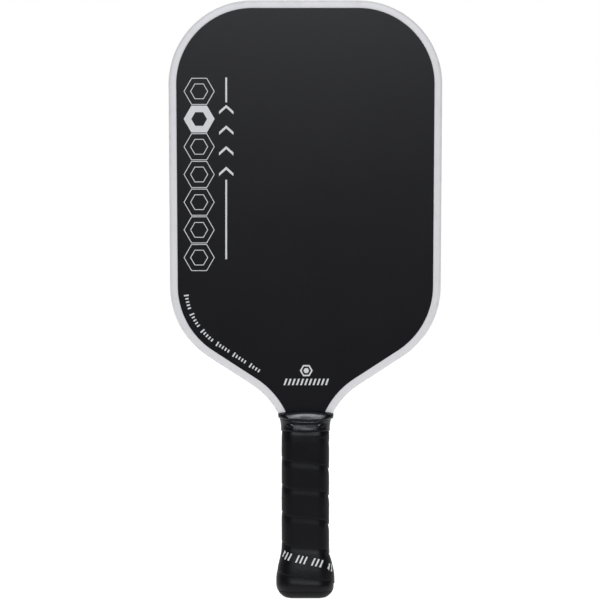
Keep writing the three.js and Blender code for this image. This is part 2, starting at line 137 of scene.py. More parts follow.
class Shade:
    """A value, colour or vector inside a material. Arithmetic on it adds the nodes that work it out."""

    def __init__(self, paint: "Paint", socket: bpy.types.NodeSocket) -> None:
        """Wraps one output socket of a material's node."""
        self.paint = paint
        self.socket = socket

    def __add__(self, other: "Shade | float") -> "Shade":
        """self + other"""
        return self.paint.maths("ADD", self, other)

    def __radd__(self, other: float) -> "Shade":
        """other + self"""
        return self.paint.maths("ADD", other, self)

    def __sub__(self, other: "Shade | float") -> "Shade":
        """self - other"""
        return self.paint.maths("SUBTRACT", self, other)

    def __rsub__(self, other: float) -> "Shade":
        """other - self"""
        return self.paint.maths("SUBTRACT", other, self)

    def __mul__(self, other: "Shade | float") -> "Shade":
        """self * other"""
        return self.paint.maths("MULTIPLY", self, other)

    def clipped(self) -> "Shade":
        """The value kept between 0 and 1."""
        return self.paint.maths("MINIMUM", self.paint.maths("MAXIMUM", self, 0.0), 1.0)

    def wave(self, length: float) -> "Shade":
        """A sine of the value, from -1 to 1, that repeats at that length."""
        return self.paint.maths("SINE", self * (2 * math.pi / length), 0.0)


class Ground(Enum):
    """What nodes can paint. The value is the shader that they end in, and the output after it."""

    MATERIAL = ("ShaderNodeBsdfPrincipled", "ShaderNodeOutputMaterial")
    SKY = ("ShaderNodeBackground", "ShaderNodeOutputWorld")


class Paint:
    """The nodes of one material or sky, with its shader at their end."""

    def __init__(self, name: str, ground: Ground = Ground.MATERIAL) -> None:
        """Makes an empty material or sky.

        Args:
            name: its name.
            ground: what the nodes are to paint.
        """
        makers = bpy.data.materials if ground is Ground.MATERIAL else bpy.data.worlds
        self.owner = makers.new(name)
        self.owner.use_nodes = True
        self.tree = self.owner.node_tree
        self.tree.nodes.clear()
        self.shader, output = (self.tree.nodes.new(kind) for kind in ground.value)
        self.tree.links.new(self.shader.outputs[0], output.inputs["Surface"])

    def node(
        self,
        kind: str,
        settings: dict[str, object] | None = None,
        sockets: dict[str | int, object] | None = None,
        output: str | int = 0,
    ) -> Shade:
        """Adds a node.

        Args:
            kind: the node's type.
            settings: its own settings, such as an operation. "stops" gives a ramp's places and colours.
            sockets: what its inputs get, as a number, colour, vector or Shade.
            output: the output that is wanted.

        Returns:
            That output.
        """
        made = self.tree.nodes.new(kind)
        for key, value in (settings or {}).items():
            if key == "stops":
                self.set_stops(made, value)
            else:
                setattr(made, key, value)
        for key, value in (sockets or {}).items():
            self.feed(made.inputs[key], value)
        return Shade(self, made.outputs[output])

    def set_stops(self, ramp: bpy.types.Node, stops: Sequence[tuple[float, float]]) -> None:
        """Gives a colour ramp its grey stops.

        Args:
            ramp: the ramp's node.
            stops: each stop's place and brightness.
        """
        elements = ramp.color_ramp.elements
        while len(elements) < len(stops):
            elements.new(1.0)
        for element, (place, grey) in zip(elements, stops):
            element.position = place
            element.color = (grey, grey, grey, 1.0)

    def feed(self, socket: bpy.types.NodeSocket, value: object) -> None:
        """Links a Shade to a socket, or sets the socket's own value.

        Args:
            socket: an input of one of the nodes.
            value: a Shade, or a number, colour or vector.
        """
        if isinstance(value, Shade):
            self.tree.links.new(value.socket, socket)
        elif socket.type == "RGBA" and len(value) == 3:
            socket.default_value = (*value, 1.0)
        else:
            socket.default_value = value

    def maths(self, operation: str, left: "Shade | float", right: "Shade | float") -> Shade:
        """One Math node on two values."""
        return self.node("ShaderNodeMath", {"operation": operation}, {0: left, 1: right})

    def place(self) -> Shade:
        """The point on the object, in metres in its own frame."""
        return self.node("ShaderNodeTexCoord", output="Object")

    def axes(self, vector: Shade) -> tuple[Shade, Shade, Shade]:
        """A vector's X, Y and Z."""
        made = self.node("ShaderNodeSeparateXYZ", {}, {0: vector}).socket.node
        return tuple(Shade(self, output) for output in made.outputs)

    def stretched(self, vector: Shade, scale: Point3) -> Shade:
        """A vector multiplied along each axis."""
        return self.node("ShaderNodeVectorMath", {"operation": "MULTIPLY"}, {0: vector, 1: scale})

    def grain(self, size: float, detail: float = 3.0, place: Shade | None = None) -> Shade:
        """Noise from 0 to 1 whose lumps have about that size, in metres."""
        sockets = {"Vector": place or self.place(), "Scale": 1 / size, "Detail": detail}
        return self.node("ShaderNodeTexNoise", {}, sockets)

    def cells(self, size: float, place: Shade | None = None) -> Shade:
        """The distance to the middle of the nearest of many scattered cells of that size, in cell sizes."""
        sockets = {"Vector": place or self.place(), "Scale": 1 / size}
        return self.node("ShaderNodeTexVoronoi", {}, sockets, "Distance")

    def sharpened(self, value: Shade, low: float, high: float) -> Shade:
        """A mask that goes from 0 to 1 as the value goes from low to high."""
        return self.node("ShaderNodeValToRGB", {"stops": [(low, 0.0), (high, 1.0)]}, {0: value})

    def eased(self, value: Shade, low: float, high: float) -> Shade:
        """A mask that goes smoothly from 0 to 1 as the value goes from low to high."""
        sockets = {"Value": value, "From Min": low, "From Max": high}
        return self.node("ShaderNodeMapRange", {"interpolation_type": "SMOOTHSTEP"}, sockets)

    def mix(self, mask: Shade, low: "Shade | Colour", high: "Shade | Colour") -> Shade:
        """A colour between two, by a mask."""
        return self.node("ShaderNodeMix", {"data_type": "RGBA"}, {0: mask, 6: low, 7: high}, 2)

    def attribute(self, name: str) -> Shade:
        """A value stored on the mesh's points."""
        return self.node("ShaderNodeAttribute", {"attribute_name": name}, output="Fac")

    def relief(self, layers: Sequence[tuple[Shade, float]]) -> Shade:
        """A bumped normal.

        Args:
            layers: heights from 0 to 1, each with how tall it is, in metres.

        Returns:
            The normal after all the layers.
        """
        normal = None
        for height, tall in layers:
            sockets = {"Height": height, "Distance": tall, "Strength": 1.0}
            if normal is not None:
                sockets["Normal"] = normal
            normal = self.node("ShaderNodeBump", {}, sockets)
        return normal

    def finish(self, **sockets: object) -> "bpy.types.Material | bpy.types.World":
        """Feeds the shader's sockets.

        Args:
            **sockets: what each one gets, by its name with _ for a space.

        Returns:
            The material or sky.
        """
        for key, value in sockets.items():
            self.feed(self.shader.inputs[key.replace("_", " ")], value)
        return self.owner


# ---------------------------------------------------------------- finishes


@dataclass(frozen=True)
class CarbonFace:
    """Raw carbon fibre with a fine, gritty peel-ply texture, under a thin film of resin."""

    name: str = "carbon_face"
    dark: Colour = (0.0018, 0.0016, 0.0036)
    light: Colour = (0.0042, 0.0038, 0.0072)
    weave: float = 0.55 * MM

    def material(self) -> bpy.types.Material:
        """Mixes the finish.

        Returns:
            The new material.
        """
        paint = Paint(self.name)
        x, _, z = paint.axes(paint.place())
        threads = x.wave(self.weave) * z.wave(self.weave) * 0.5 + 0.5
        cloud = paint.grain(38 * MM, 4.0)
        grit = paint.grain(GRIT, 2.0)
        streak = paint.grain(1.0, 3.0, paint.stretched(paint.place(), (900.0, 900.0, 60.0)))
        tone = (cloud * 0.45 + threads * 0.3 + streak * 0.35 - 0.05).clipped()
        return paint.finish(
            Base_Color=paint.mix(tone, self.dark, self.light),
            Roughness=0.32 + cloud * 0.06 + grit * 0.06,
            Normal=paint.relief([(threads, 0.012 * MM), (grit, 0.02 * MM), (streak, 0.01 * MM)]),
            Specular_IOR_Level=0.26,
        )


@dataclass(frozen=True)
class GuardPlastic:
    """White flexible plastic, a little duller and greyer where hands and courts rub it, with painted shade
    darkening the crevice beside the face.
    """

    name: str = "white_guard"
    clean: Colour = (0.91, 0.89, 0.9)
    worn: Colour = (0.72, 0.705, 0.705)

    def material(self) -> bpy.types.Material:
        """Mixes the finish. The mesh's "rub" is 1 at the outer corners, and its "tuck" is 1 beside the face,
        where it paints shade into the crevice.

        Returns:
            The new material.
        """
        paint = Paint(self.name)
        rub = paint.attribute("rub")
        # tuck is painted shade: it greys the lip where it meets the face.
        tuck = paint.attribute("tuck")
        scuffs = paint.sharpened(paint.grain(6 * MM, 6.0), 0.5, 0.72)
        fine = paint.grain(0.5 * MM, 2.0)
        # Scuffs and rubbed corners are real wear; tuck adds painted shade beside the face.
        dirt = (scuffs * 0.18 + rub * scuffs * 0.3 + tuck * 0.45).clipped()
        return paint.finish(
            Base_Color=paint.mix(dirt, self.clean, self.worn),
            Roughness=0.4 + fine * 0.08 + scuffs * 0.12,
            Normal=paint.relief([(fine, 0.012 * MM), (scuffs, 0.008 * MM)]),
        )


@dataclass(frozen=True)
class GripLeather:
    """Black cushioned grip strip, with a fine pebbled skin that hands have polished."""

    name: str = "grip_leather"
    deep: Colour = (0.0006, 0.0005, 0.002)
    skin: Colour = (0.0018, 0.0016, 0.0042)
    rubbed: Colour = (0.005, 0.0048, 0.008)

    def material(self) -> bpy.types.Material:
        """Mixes the finish. The mesh's "lap" is 1 on the raised lower edge of each turn of the strip.

        Returns:
            The new material.
        """
        paint = Paint(self.name)
        pebbles = 1 - paint.cells(0.75 * MM)
        fine = paint.grain(0.3 * MM, 2.0)
        cloud = paint.grain(9 * MM, 4.0)
        lap = paint.attribute("lap")
        body = paint.mix((cloud * 0.8 + pebbles * 0.2).clipped(), self.deep, self.skin)
        return paint.finish(
            Base_Color=paint.mix((lap * cloud).clipped(), body, self.rubbed),
            Roughness=0.32 + cloud * 0.16 + fine * 0.08,
            Normal=paint.relief([(pebbles, 0.05 * MM), (fine, 0.02 * MM), (cloud, 0.12 * MM)]),
            Specular_IOR_Level=0.22,
        )


@dataclass(frozen=True)
class CollarRubber:
    """Glossy black rubber with faint stretch marks round it."""

    name: str = "collar_rubber"
    black: Colour = (0.0015, 0.0017, 0.0042)
    bloom: Colour = (0.005, 0.0054, 0.0098)

    def material(self) -> bpy.types.Material:
        """Mixes the finish.

        Returns:
            The new material.
        """
        paint = Paint(self.name)
        around = paint.stretched(paint.place(), (120.0, 120.0, 900.0))
        marks = paint.grain(1.0, 3.0, around)
        cloud = paint.grain(5 * MM, 4.0)
        return paint.finish(
            Base_Color=paint.mix((cloud * 0.7 + marks * 0.3).clipped(), self.black, self.bloom),
            Roughness=0.17 + cloud * 0.1 + marks * 0.06,
            Normal=paint.relief([(marks, 0.03 * MM), (cloud, 0.05 * MM)]),
        )


class Polish(Enum):
    """How a moulded plastic's surface was finished in its mould."""

    SPARKED = 0.5
    SATIN = 0.34
    POLISHED = 0.14


@dataclass(frozen=True)
class MouldedPlastic:
    """Moulded plastic with the fine texture of its mould and a few light scuffs."""

    name: str
    colour: Colour
    scuffed: Colour
    polish: Polish
    shine: float = 0.5

    def material(self) -> bpy.types.Material:
        """Mixes the finish.

        Returns:
            The new material.
        """
        paint = Paint(self.name)
        mould = paint.grain(0.22 * MM, 2.0)
        cloud = paint.grain(7 * MM, 4.0)
        scratches = paint.grain(1.0, 2.0, paint.stretched(paint.place(), (300.0, 1500.0, 500.0)))
        scuffs = paint.sharpened(scratches, 0.6, 0.74)
        return paint.finish(
            Base_Color=paint.mix((cloud * 0.4 + scuffs * 0.6).clipped(), self.colour, self.scuffed),
            Roughness=self.polish.value + cloud * 0.08 + scuffs * 0.15,
            Normal=paint.relief([(mould, 0.02 * MM), (scuffs, 0.006 * MM)]),
            Specular_IOR_Level=self.shine,
        )


@dataclass(frozen=True)
class PrintInk:
    """Screen-printed ink, thin enough that the grit below shows in it."""

    name: str = "print_ink"
    full: Colour = (0.82, 0.82, 0.82)
    thin: Colour = (0.6, 0.6, 0.6)

    def material(self) -> bpy.types.Material:
        """Mixes the finish.

        Returns:
            The new material.
        """
        paint = Paint(self.name)
        grit = paint.grain(GRIT, 2.0)
        specks = paint.sharpened(paint.grain(0.5 * MM, 3.0), 0.56, 0.72)
        return paint.finish(
            Base_Color=paint.mix(specks, self.full, self.thin),
            Roughness=0.45 + grit * 0.15,
            Normal=paint.relief([(grit, 0.015 * MM)]),
        )


@dataclass(frozen=True)
class ClearishFilm:
    """Dried adhesive, amber where it is thick."""

    name: str
    pale: Colour
    thick: Colour

    def material(self) -> bpy.types.Material:
        """Mixes the finish.

        Returns:
            The new material.
        """
        paint = Paint(self.name)
        cloud = paint.grain(12 * MM, 5.0)
        bubbles = paint.sharpened(paint.cells(2.4 * MM), 0.12, 0.2)
        return paint.finish(
            Base_Color=paint.mix((cloud * 0.8 + bubbles * 0.2).clipped(), self.pale, self.thick),
            Roughness=0.22 + cloud * 0.2,
            Coat_Weight=cloud * 0.4,
            Normal=paint.relief([(cloud, 0.08 * MM), (bubbles, 0.03 * MM)]),
        )


@dataclass(frozen=True)
class HandleFoam:
    """Rigid moulded foam, with a closed skin and small open bubbles, which are painted darker as painted
    shade in the pits.
    """

    name: str = "handle_foam"
    skin: Colour = (0.07, 0.07, 0.073)
    bubble: Colour = (0.025, 0.025, 0.027)

    def material(self) -> bpy.types.Material:
        """Mixes the finish.

        Returns:
            The new material.
        """
        paint = Paint(self.name)
        # The pores are painted darker than the skin: painted shade in the pits.
        pores = 1 - paint.sharpened(paint.cells(1.3 * MM), 0.14, 0.3)
        cloud = paint.grain(8 * MM, 4.0)
        return paint.finish(
            Base_Color=paint.mix((pores * 0.8 + cloud * 0.2).clipped(), self.skin, self.bubble),
            Roughness=0.72 + cloud * 0.2,
            Normal=paint.relief([(1 - pores, 0.15 * MM), (cloud, 0.1 * MM)]),
        )


@dataclass(frozen=True)
class FibreTape:
    """Tape with threads along it and across it."""

    name: str
    weft: Colour
    warp: Colour
    roughness: float
    thread: float = 0.8 * MM

    def material(self) -> bpy.types.Material:
        """Mixes the finish.

        Returns:
            The new material.
        """
        paint = Paint(self.name)
        x, y, z = paint.axes(paint.place())
        threads = (x + y).wave(self.thread) * 0.25 + z.wave(self.thread) * 0.25 + 0.5
        fibres = paint.grain(0.4 * MM, 3.0)
        return paint.finish(
            Base_Color=paint.mix((threads * 0.6 + fibres * 0.4).clipped(), self.weft, self.warp),
            Roughness=self.roughness + fibres * 0.12,
            Normal=paint.relief([(threads, 0.04 * MM), (fibres, 0.02 * MM)]),
        )


@dataclass(frozen=True)
class DrawnSteel:
    """Bright steel wire with die marks along it."""

    name: str = "drawn_steel"
    bright: Colour = (0.62, 0.62, 0.63)
    dull: Colour = (0.36, 0.35, 0.34)

    def material(self) -> bpy.types.Material:
        """Mixes the finish.

        Returns:
            The new material.
        """
        paint = Paint(self.name)
        marks = paint.grain(1.0, 3.0, paint.stretched(paint.place(), (150.0, 4000.0, 4000.0)))
        stain = paint.sharpened(paint.grain(1.5 * MM, 4.0), 0.5, 0.75)
        return paint.finish(
            Base_Color=paint.mix((marks * 0.4 + stain * 0.5).clipped(), self.bright, self.dull),
            Metallic=1 - stain * 0.3,
            Roughness=0.2 + marks * 0.2 + stain * 0.2,
            Normal=paint.relief([(marks, 0.01 * MM)]),
        )


@dataclass(frozen=True)
class StudioFloor:
    """The pale floor, in softer light in front of the paddle than behind it. It looks white all over."""

    name: str = "studio_floor"
    pale: Colour = (0.3, 0.3, 0.305)
    white: Colour = (0.86, 0.86, 0.865)
    dim_glow: float = 0.06
    full_glow: float = 0.6
    seen_glow: float = 0.95
    dim_before: float = -0.55
    full_after: float = 0.03

    def material(self) -> bpy.types.Material:
        """Mixes the finish.

        Returns:
            The new material.
        """
        paint = Paint(self.name)
        _, y, _ = paint.axes(paint.place())
        light = paint.eased(y, self.dim_before, self.full_after)
        seen = paint.node("ShaderNodeLightPath", output="Is Camera Ray") * self.seen_glow
        glow = paint.maths("MAXIMUM", light * (self.full_glow - self.dim_glow) + self.dim_glow, seen)
        return paint.finish(
            Base_Color=paint.mix(light, self.pale, self.white),
            Roughness=0.8 + paint.grain(1.4, 2.0) * 0.1,
            Emission_Color=paint.mix(glow, (0.0, 0.0, 0.0), (1.0, 1.0, 1.0)),
            Emission_Strength=1.0,
        )


# ---------------------------------------------------------------- meshes


@dataclass
class Solid:
    """Points and faces of a mesh in the making, with values stored on its points."""

    points: list[Point3] = field(default_factory=list)
    faces: Faces = field(default_factory=list)
    values: dict[str, list[float]] = field(default_factory=dict)

    def add_rings(self, rings: Sequence[Sequence[Point3]], closed: bool = False, capped: bool = True) -> None:
        """Joins rings of points into a skin.

        Args:
            rings: each has as many points as the next.
            closed: whether the last ring joins the first one.
            capped: whether an open run of rings gets a face at each end.
        """
        base = len(self.points)
        count = len(rings[0])
        for ring in rings:
            self.points.extend(ring)
        spans = len(rings) if closed else len(rings) - 1
        for k in range(spans):
            low = base + k * count
            high = base + ((k + 1) % len(rings)) * count
            for i in range(count):
                j = (i + 1) % count
                self.faces.append((low + i, low + j, high + j, high + i))
        if capped and not closed:
            self.faces.append(tuple(base + i for i in reversed(range(count))))
            last = base + (len(rings) - 1) * count
            self.faces.append(tuple(last + i for i in range(count)))

    def add_value(self, name: str, amounts: Iterable[float]) -> None:
        """Stores a value on each of the latest points."""
        self.values.setdefault(name, []).extend(amounts)


def link_new(name: str, data: bpy.types.ID) -> bpy.types.Object:
    """Puts a new object in the scene.

    Args:
        name: the object's name.
        data: its mesh, light or camera.

    Returns:
        The object.
    """
    made = bpy.data.objects.new(name, data)
    bpy.context.scene.collection.objects.link(made)
    return made


def make_object(
    name: str, solid: Solid, material: bpy.types.Material, crease: float = 35.0
) -> bpy.types.Object:
    """Turns points and faces into an object with one material.

    Args:
        name: the object's name.
        solid: its points and faces.
        material: what it is made of.
        crease: edges that turn by more than this many degrees stay sharp.

    Returns:
        The new object.
    """
    mesh = bpy.data.meshes.new(name)
    mesh.from_pydata(solid.points, [], solid.faces)
    if signed_volume(mesh) < 0:
        mesh.flip_normals()
    for key, amounts in solid.values.items():
        stored = mesh.attributes.new(key, "FLOAT", "POINT")
        stored.data.foreach_set("value", amounts)
    mesh.shade_smooth()
    mesh.set_sharp_from_angle(angle=math.radians(crease))
    mesh.materials.append(material)
    return link_new(name, mesh)


def signed_volume(mesh: bpy.types.Mesh) -> float:
    """Measures the space that a mesh's faces shut in.

    Args:
        mesh: the mesh.

    Returns:
        Six times the volume, below zero if the faces look inwards.
    """
    mesh.calc_loop_triangles()
    points = mesh.vertices
    return sum(
        points[t.vertices[0]].co.dot(points[t.vertices[1]].co.cross(points[t.vertices[2]].co))
        for t in mesh.loop_triangles
    )


def add_piece(piece: bpy.types.Object, slot: str, *nodes: str) -> None:
    """Puts a finished piece on the paddle.

    Args:
        piece: the object, in its place.
        slot: a material slot's name, which is not used.
        *nodes: the solids that it stands for.
    """
    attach(piece, BODY)
    if nodes:
        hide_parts(*nodes)
    log.info("%s: %d faces", piece.name, len(piece.data.polygons))


def dress(material: bpy.types.Material, *nodes: str) -> None:
    """Gives solids that keep their shape a finish.

    Args:
        material: the finish.
        *nodes: the solids' names.
    """
    for name in nodes:
        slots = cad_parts[name].data.materials
        slots.clear()
        slots.append(material)
        log.info("%s: dressed in %s", name, material.name)


# ---------------------------------------------------------------- outlines


@dataclass(frozen=True)
class Station:
    """A point on the blade's outline, and the direction out of the blade there."""

    x: float
    z: float
    out_x: float
    out_z: float

    def inset(self, distance: float) -> Point2:
        """The point at a distance in from the outline."""
        return self.x - self.out_x * distance, self.z - self.out_z * distance

    def mirrored(self) -> "Station":
        """The same point on the other side of the blade."""
        return Station(-self.x, self.z, -self.out_x, self.out_z)


@dataclass(frozen=True)
class Outline:
    """The blade's outline at the outside of its edge guard, as arcs joined by straight lines."""

    length: float
    half_width: float
    side_taper: float = math.radians(0.44)
    top_radius: float = 58.6 * MM
    lower_radius: float = 59.3 * MM
    lower_start: float = 217.7 * MM
    shoulder: float = math.radians(57.1)
    throat_radius: float = 51.5 * MM
    throat_half_width: float = 13.5 * MM
    step: float = 1.6 * MM

    @property
    def top_centre(self) -> Point2:
        """The middle of the top corner's arc."""
        return self.half_width - self.top_radius, self.length - self.top_radius

    @property
    def lower_centre(self) -> Point2:
        """The middle of the lower corner's arc.

        Returns:
            Its X and Z.
        """
        drop = self.top_centre[1] - self.lower_start
        lean = drop * math.tan(self.side_taper) + self.lower_radius * math.cos(self.side_taper)
        return self.half_width - lean, self.lower_start + self.lower_radius * math.sin(self.side_taper)

    @property
    def throat_centre(self) -> Point2:
        """The middle of the throat's arc, which curves the other way and touches the shoulder line.

        Returns:
            Its X and Z.
        """
        x = self.throat_half_width + self.throat_radius
        reach = self.lower_radius + self.throat_radius
        run = x - self.lower_centre[0] - reach * math.cos(self.shoulder)
        rise = run / math.tan(self.shoulder) - reach * math.sin(self.shoulder)
        return x, self.lower_centre[1] + rise

    def arc(
        self, centre: Point2, radius: float, start: float, stop: float, hollow: bool = False
    ) -> list[Station]:
        """The stations along an arc.

        Args:
            centre: its middle.
            radius: its radius.
            start: the angle that it begins at, in radians from X towards Z.
            stop: the angle that it ends at.
            hollow: whether its middle lies outside the blade.

        Returns:
            The stations, the ends among them.
        """
        steps = max(2, math.ceil(abs(stop - start) * radius / self.step))
        out = -1.0 if hollow else 1.0
        stations = []
        for i in range(steps + 1):
            angle = lerp(start, stop, i / steps)
            x, z = math.cos(angle), math.sin(angle)
            stations.append(Station(centre[0] + radius * x, centre[1] + radius * z, out * x, out * z))
        return stations

    def straight(self, a: Station, b: Station) -> list[Station]:
        """The stations on a straight run.

        Args:
            a: the station at its start.
            b: the station at its end.

        Returns:
            The stations between those two.
        """
        steps = max(1, math.ceil(math.hypot(b.x - a.x, b.z - a.z) / self.step))
        return [
            Station(lerp(a.x, b.x, i / steps), lerp(a.z, b.z, i / steps), a.out_x, a.out_z)
            for i in range(1, steps)
        ]

    def right_side(self, lowest: float) -> list[Station]:
        """The stations up the right side.

        Args:
            lowest: the height to start from, on the throat or the tang.

        Returns:
            The stations from there to the middle of the top.
        """
        throat_x, throat_z = self.throat_centre
        climb = max(0.0, lowest - throat_z)
        start = math.pi - math.asin(climb / self.throat_radius)
        throat = self.arc((throat_x, throat_z), self.throat_radius, start, math.pi - self.shoulder, True)
        lower = self.arc(self.lower_centre, self.lower_radius, -self.shoulder, -self.side_taper)
        top = self.arc(self.top_centre, self.top_radius, -self.side_taper, math.pi / 2)
        middle = Station(0.0, self.length, 0.0, 1.0)
        run = []
        if climb == 0.0:
            foot = Station(self.throat_half_width, lowest, 1.0, 0.0)
            run += [foot, *self.straight(foot, throat[0])]
        run += [*throat, *self.straight(throat[-1], lower[0]), *lower]
        run += [*self.straight(lower[-1], top[0]), *top, *self.straight(top[-1], middle), middle]
        return run

    def whole(self, lowest: float) -> list[Station]:
        """The stations all the way round, from the right foot over the top to the left foot."""
        right = self.right_side(lowest)
        return right + [station.mirrored() for station in reversed(right[:-1])]


@dataclass(frozen=True)
class HandleSection:
    """The handle's eight-sided section. Places round it are counted anticlockwise, seen from above."""

    half_width: float = 14.6 * MM
    half_depth: float = 13 * MM
    bevel: float = 3.9 * MM
    corner: float = 2.6 * MM
    arc_steps: int = 6
    flat_steps: int = 7
    flare: float = 3.8 * MM
    flare_top: float = 36 * MM
    flare_full: float = 13 * MM
    dome_height: float = 11 * MM
    dome_end: float = -7.3 * MM
    dome_exponent: float = 2.2
    front_side: int = 6
    least_bevel: float = 1.2 * MM
    least_corner: float = 1.0 * MM
    corner_growth: float = 3.0
    corner_limit: float = 1.6

    @property
    def side_count(self) -> int:
        """How many places one corner and the flat after it have."""
        return self.arc_steps + self.flat_steps

    @property
    def count(self) -> int:
        """How many places there are round the handle."""
        return SIDES * self.side_count

    @property
    def front(self) -> float:
        """The place in the middle of the front flat."""
        return self.front_side * self.side_count + self.arc_steps + self.flat_steps / 2

    def spot(self, place: float, half_width: float, half_depth: float, bevel: float, corner: float) -> Point2:
        """A point round an octagon with rounded corners.

        Args:
            place: how far round, from 0 to count.
            half_width: half the octagon's width.
            half_depth: half its depth.
            bevel: how much of each side its slanted sides take.
            corner: the radius of its corners.

        Returns:
            The point's X and Y.
        """
        place %= self.count
        side = int(place // self.side_count)
        along = place - side * self.side_count
        if along <= self.arc_steps:
            angle = SIDE_TURN * (side - 1 + along / self.arc_steps)
            return self.corner_spot(side, angle, half_width, half_depth, bevel, corner)
        angle = SIDE_TURN * side
        a = self.corner_spot(side, angle, half_width, half_depth, bevel, corner)
        b = self.corner_spot((side + 1) % SIDES, angle, half_width, half_depth, bevel, corner)
        t = (along - self.arc_steps) / self.flat_steps
        return lerp(a[0], b[0], t), lerp(a[1], b[1], t)

    def corner_spot(self, side: int, angle: float, a: float, b: float, bevel: float, corner: float) -> Point2:
        """The point of a rounded corner at which its surface looks along an angle.

        Args:
            side: the corner's number, the same as that of the side after it.
            angle: the angle, in radians from X towards Y.
            a: half the octagon's width.
            b: half its depth.
            bevel: how much of each side its slanted sides take.
            corner: the radius of its corners.

        Returns:
            The point's X and Y.
        """
        across, along = a - bevel, b - bevel
        half = [(a, -along), (a, along), (across, b), (-across, b)]
        tip_x, tip_y = (half + [(-x, -y) for x, y in half])[side]
        middle = SIDE_TURN * (side - 0.5)
        back = corner / math.cos(SIDE_TURN / 2)
        x = tip_x - back * math.cos(middle) + corner * math.cos(angle)
        y = tip_y - back * math.sin(middle) + corner * math.sin(angle)
        return x, y

    def flare_at(self, z: float) -> float:
        """How far the wrapped handle stands out beyond its straight part.

        Args:
            z: the height.

        Returns:
            The distance, below zero where the butt draws in.
        """
        flare = self.flare * smoothstep(0.0, 1.0, (self.flare_top - z) / (self.flare_top - self.flare_full))
        drop = min(1.0, max(0.0, (self.dome_height - z) / self.dome_height))
        dome = (1 - drop**self.dome_exponent) ** (1 / self.dome_exponent)
        return self.dome_end + (flare - self.dome_end) * dome

    def point(self, place: float, z: float, offset: float) -> Point3:
        """A point out from the bare handle, with the flare on top of that.

        Args:
            place: how far round.
            z: its height.
            offset: how far out it is.

        Returns:
            The point.
        """
        grow = offset + self.flare_at(z)
        bevel = max(self.least_bevel, self.bevel + (2 - math.sqrt(2)) * grow)
        corner = max(self.least_corner, self.corner + self.corner_growth * grow)
        corner = min(corner, self.corner_limit * bevel)
        x, y = self.spot(place, self.half_width + grow, self.half_depth + grow, bevel, corner)
        return x, y, z

    def ring(self, z: float, offset: float) -> list[Point3]:
        """All the points at a height and an offset."""
        return [self.point(i, z, offset) for i in range(self.count)]

    def circle(self, radius: float, z: float) -> list[Point3]:
        """A ring of as many points on a circle, each in line with the octagon's.

        Args:
            radius: the circle's radius.
            z: its height.

        Returns:
            The points.
        """
        points = []
        for x, y, _ in self.ring(self.flare_top, 0.0):
            size = math.hypot(x, y)
            points.append((x / size * radius, y / size * radius, z))
        return points


# ---------------------------------------------------------------- flat figures for the print


@dataclass(frozen=True)
class Figure:
    """A printed figure in the flat: either filled, or a closed line of an even width."""

    corners: list[Point2]
    line: float = 0.0

    def moved(self, x: float, z: float, turn: float = 0.0) -> "Figure":
        """The figure turned by an angle in radians, and then moved."""
        c, s = math.cos(turn), math.sin(turn)
        return Figure([(x + u * c - v * s, z + u * s + v * c) for u, v in self.corners], self.line)

    def inner(self) -> list[Point2]:
        """The inside of the line.

        Returns:
            The corners moved in by the line's width.
        """
        count = len(self.corners)
        moved = []
        for i, (x, z) in enumerate(self.corners):
            before, after = self.corners[i - 1], self.corners[(i + 1) % count]
            first = unit(x - before[0], z - before[1])
            second = unit(after[0] - x, after[1] - z)
            normal = (-(first[1] + second[1]), first[0] + second[0])
            scale = self.line / (1 + first[0] * second[0] + first[1] * second[1])
            moved.append((x + normal[0] * scale, z + normal[1] * scale))
        return moved


def unit(x: float, z: float) -> Point2:
    """The direction of a vector."""
    size = math.hypot(x, z)
    return x / size, z / size


def divided(corners: Sequence[Point2], pieces: int) -> list[Point2]:
    """Cuts each side of a closed outline into short pieces, so that it can bend.

    Args:
        corners: the outline's corners.
        pieces: how many pieces each side gets.

    Returns:
        The corners and the points between them.
    """
    return [
        (lerp(a[0], b[0], i / pieces), lerp(a[1], b[1], i / pieces))
        for a, b in zip(corners, [*corners[1:], corners[0]])
        for i in range(pieces)
    ]


def hexagon(flats: float, line: float = 0.0) -> Figure:
    """A hexagon with a side at its top and bottom.

    Args:
        flats: its size from flat to flat.
        line: the width of its line, or 0 to fill it.

    Returns:
        The figure, round the origin.
    """
    radius = flats / math.sqrt(3)
    corners = [(radius * math.cos(k * math.pi / 3), radius * math.sin(k * math.pi / 3)) for k in range(6)]
    return Figure(corners, line)


def bar(width: float, height: float, slant: float = 0.0) -> Figure:
    """A filled bar, whose top lies further right than its bottom by the slant."""
    x, z, lean = width / 2, height / 2, slant / 2
    return Figure([(-x - lean, -z), (x - lean, -z), (x + lean, z), (lean - x, z)])


def chevron(width: float, height: float, stroke: float) -> Figure:
    """A filled chevron that points up."""
    x, z = width / 2, height / 2
    return Figure([(-x, -z), (0.0, z - stroke), (x, -z), (x, stroke - z), (0.0, z), (-x, stroke - z)])


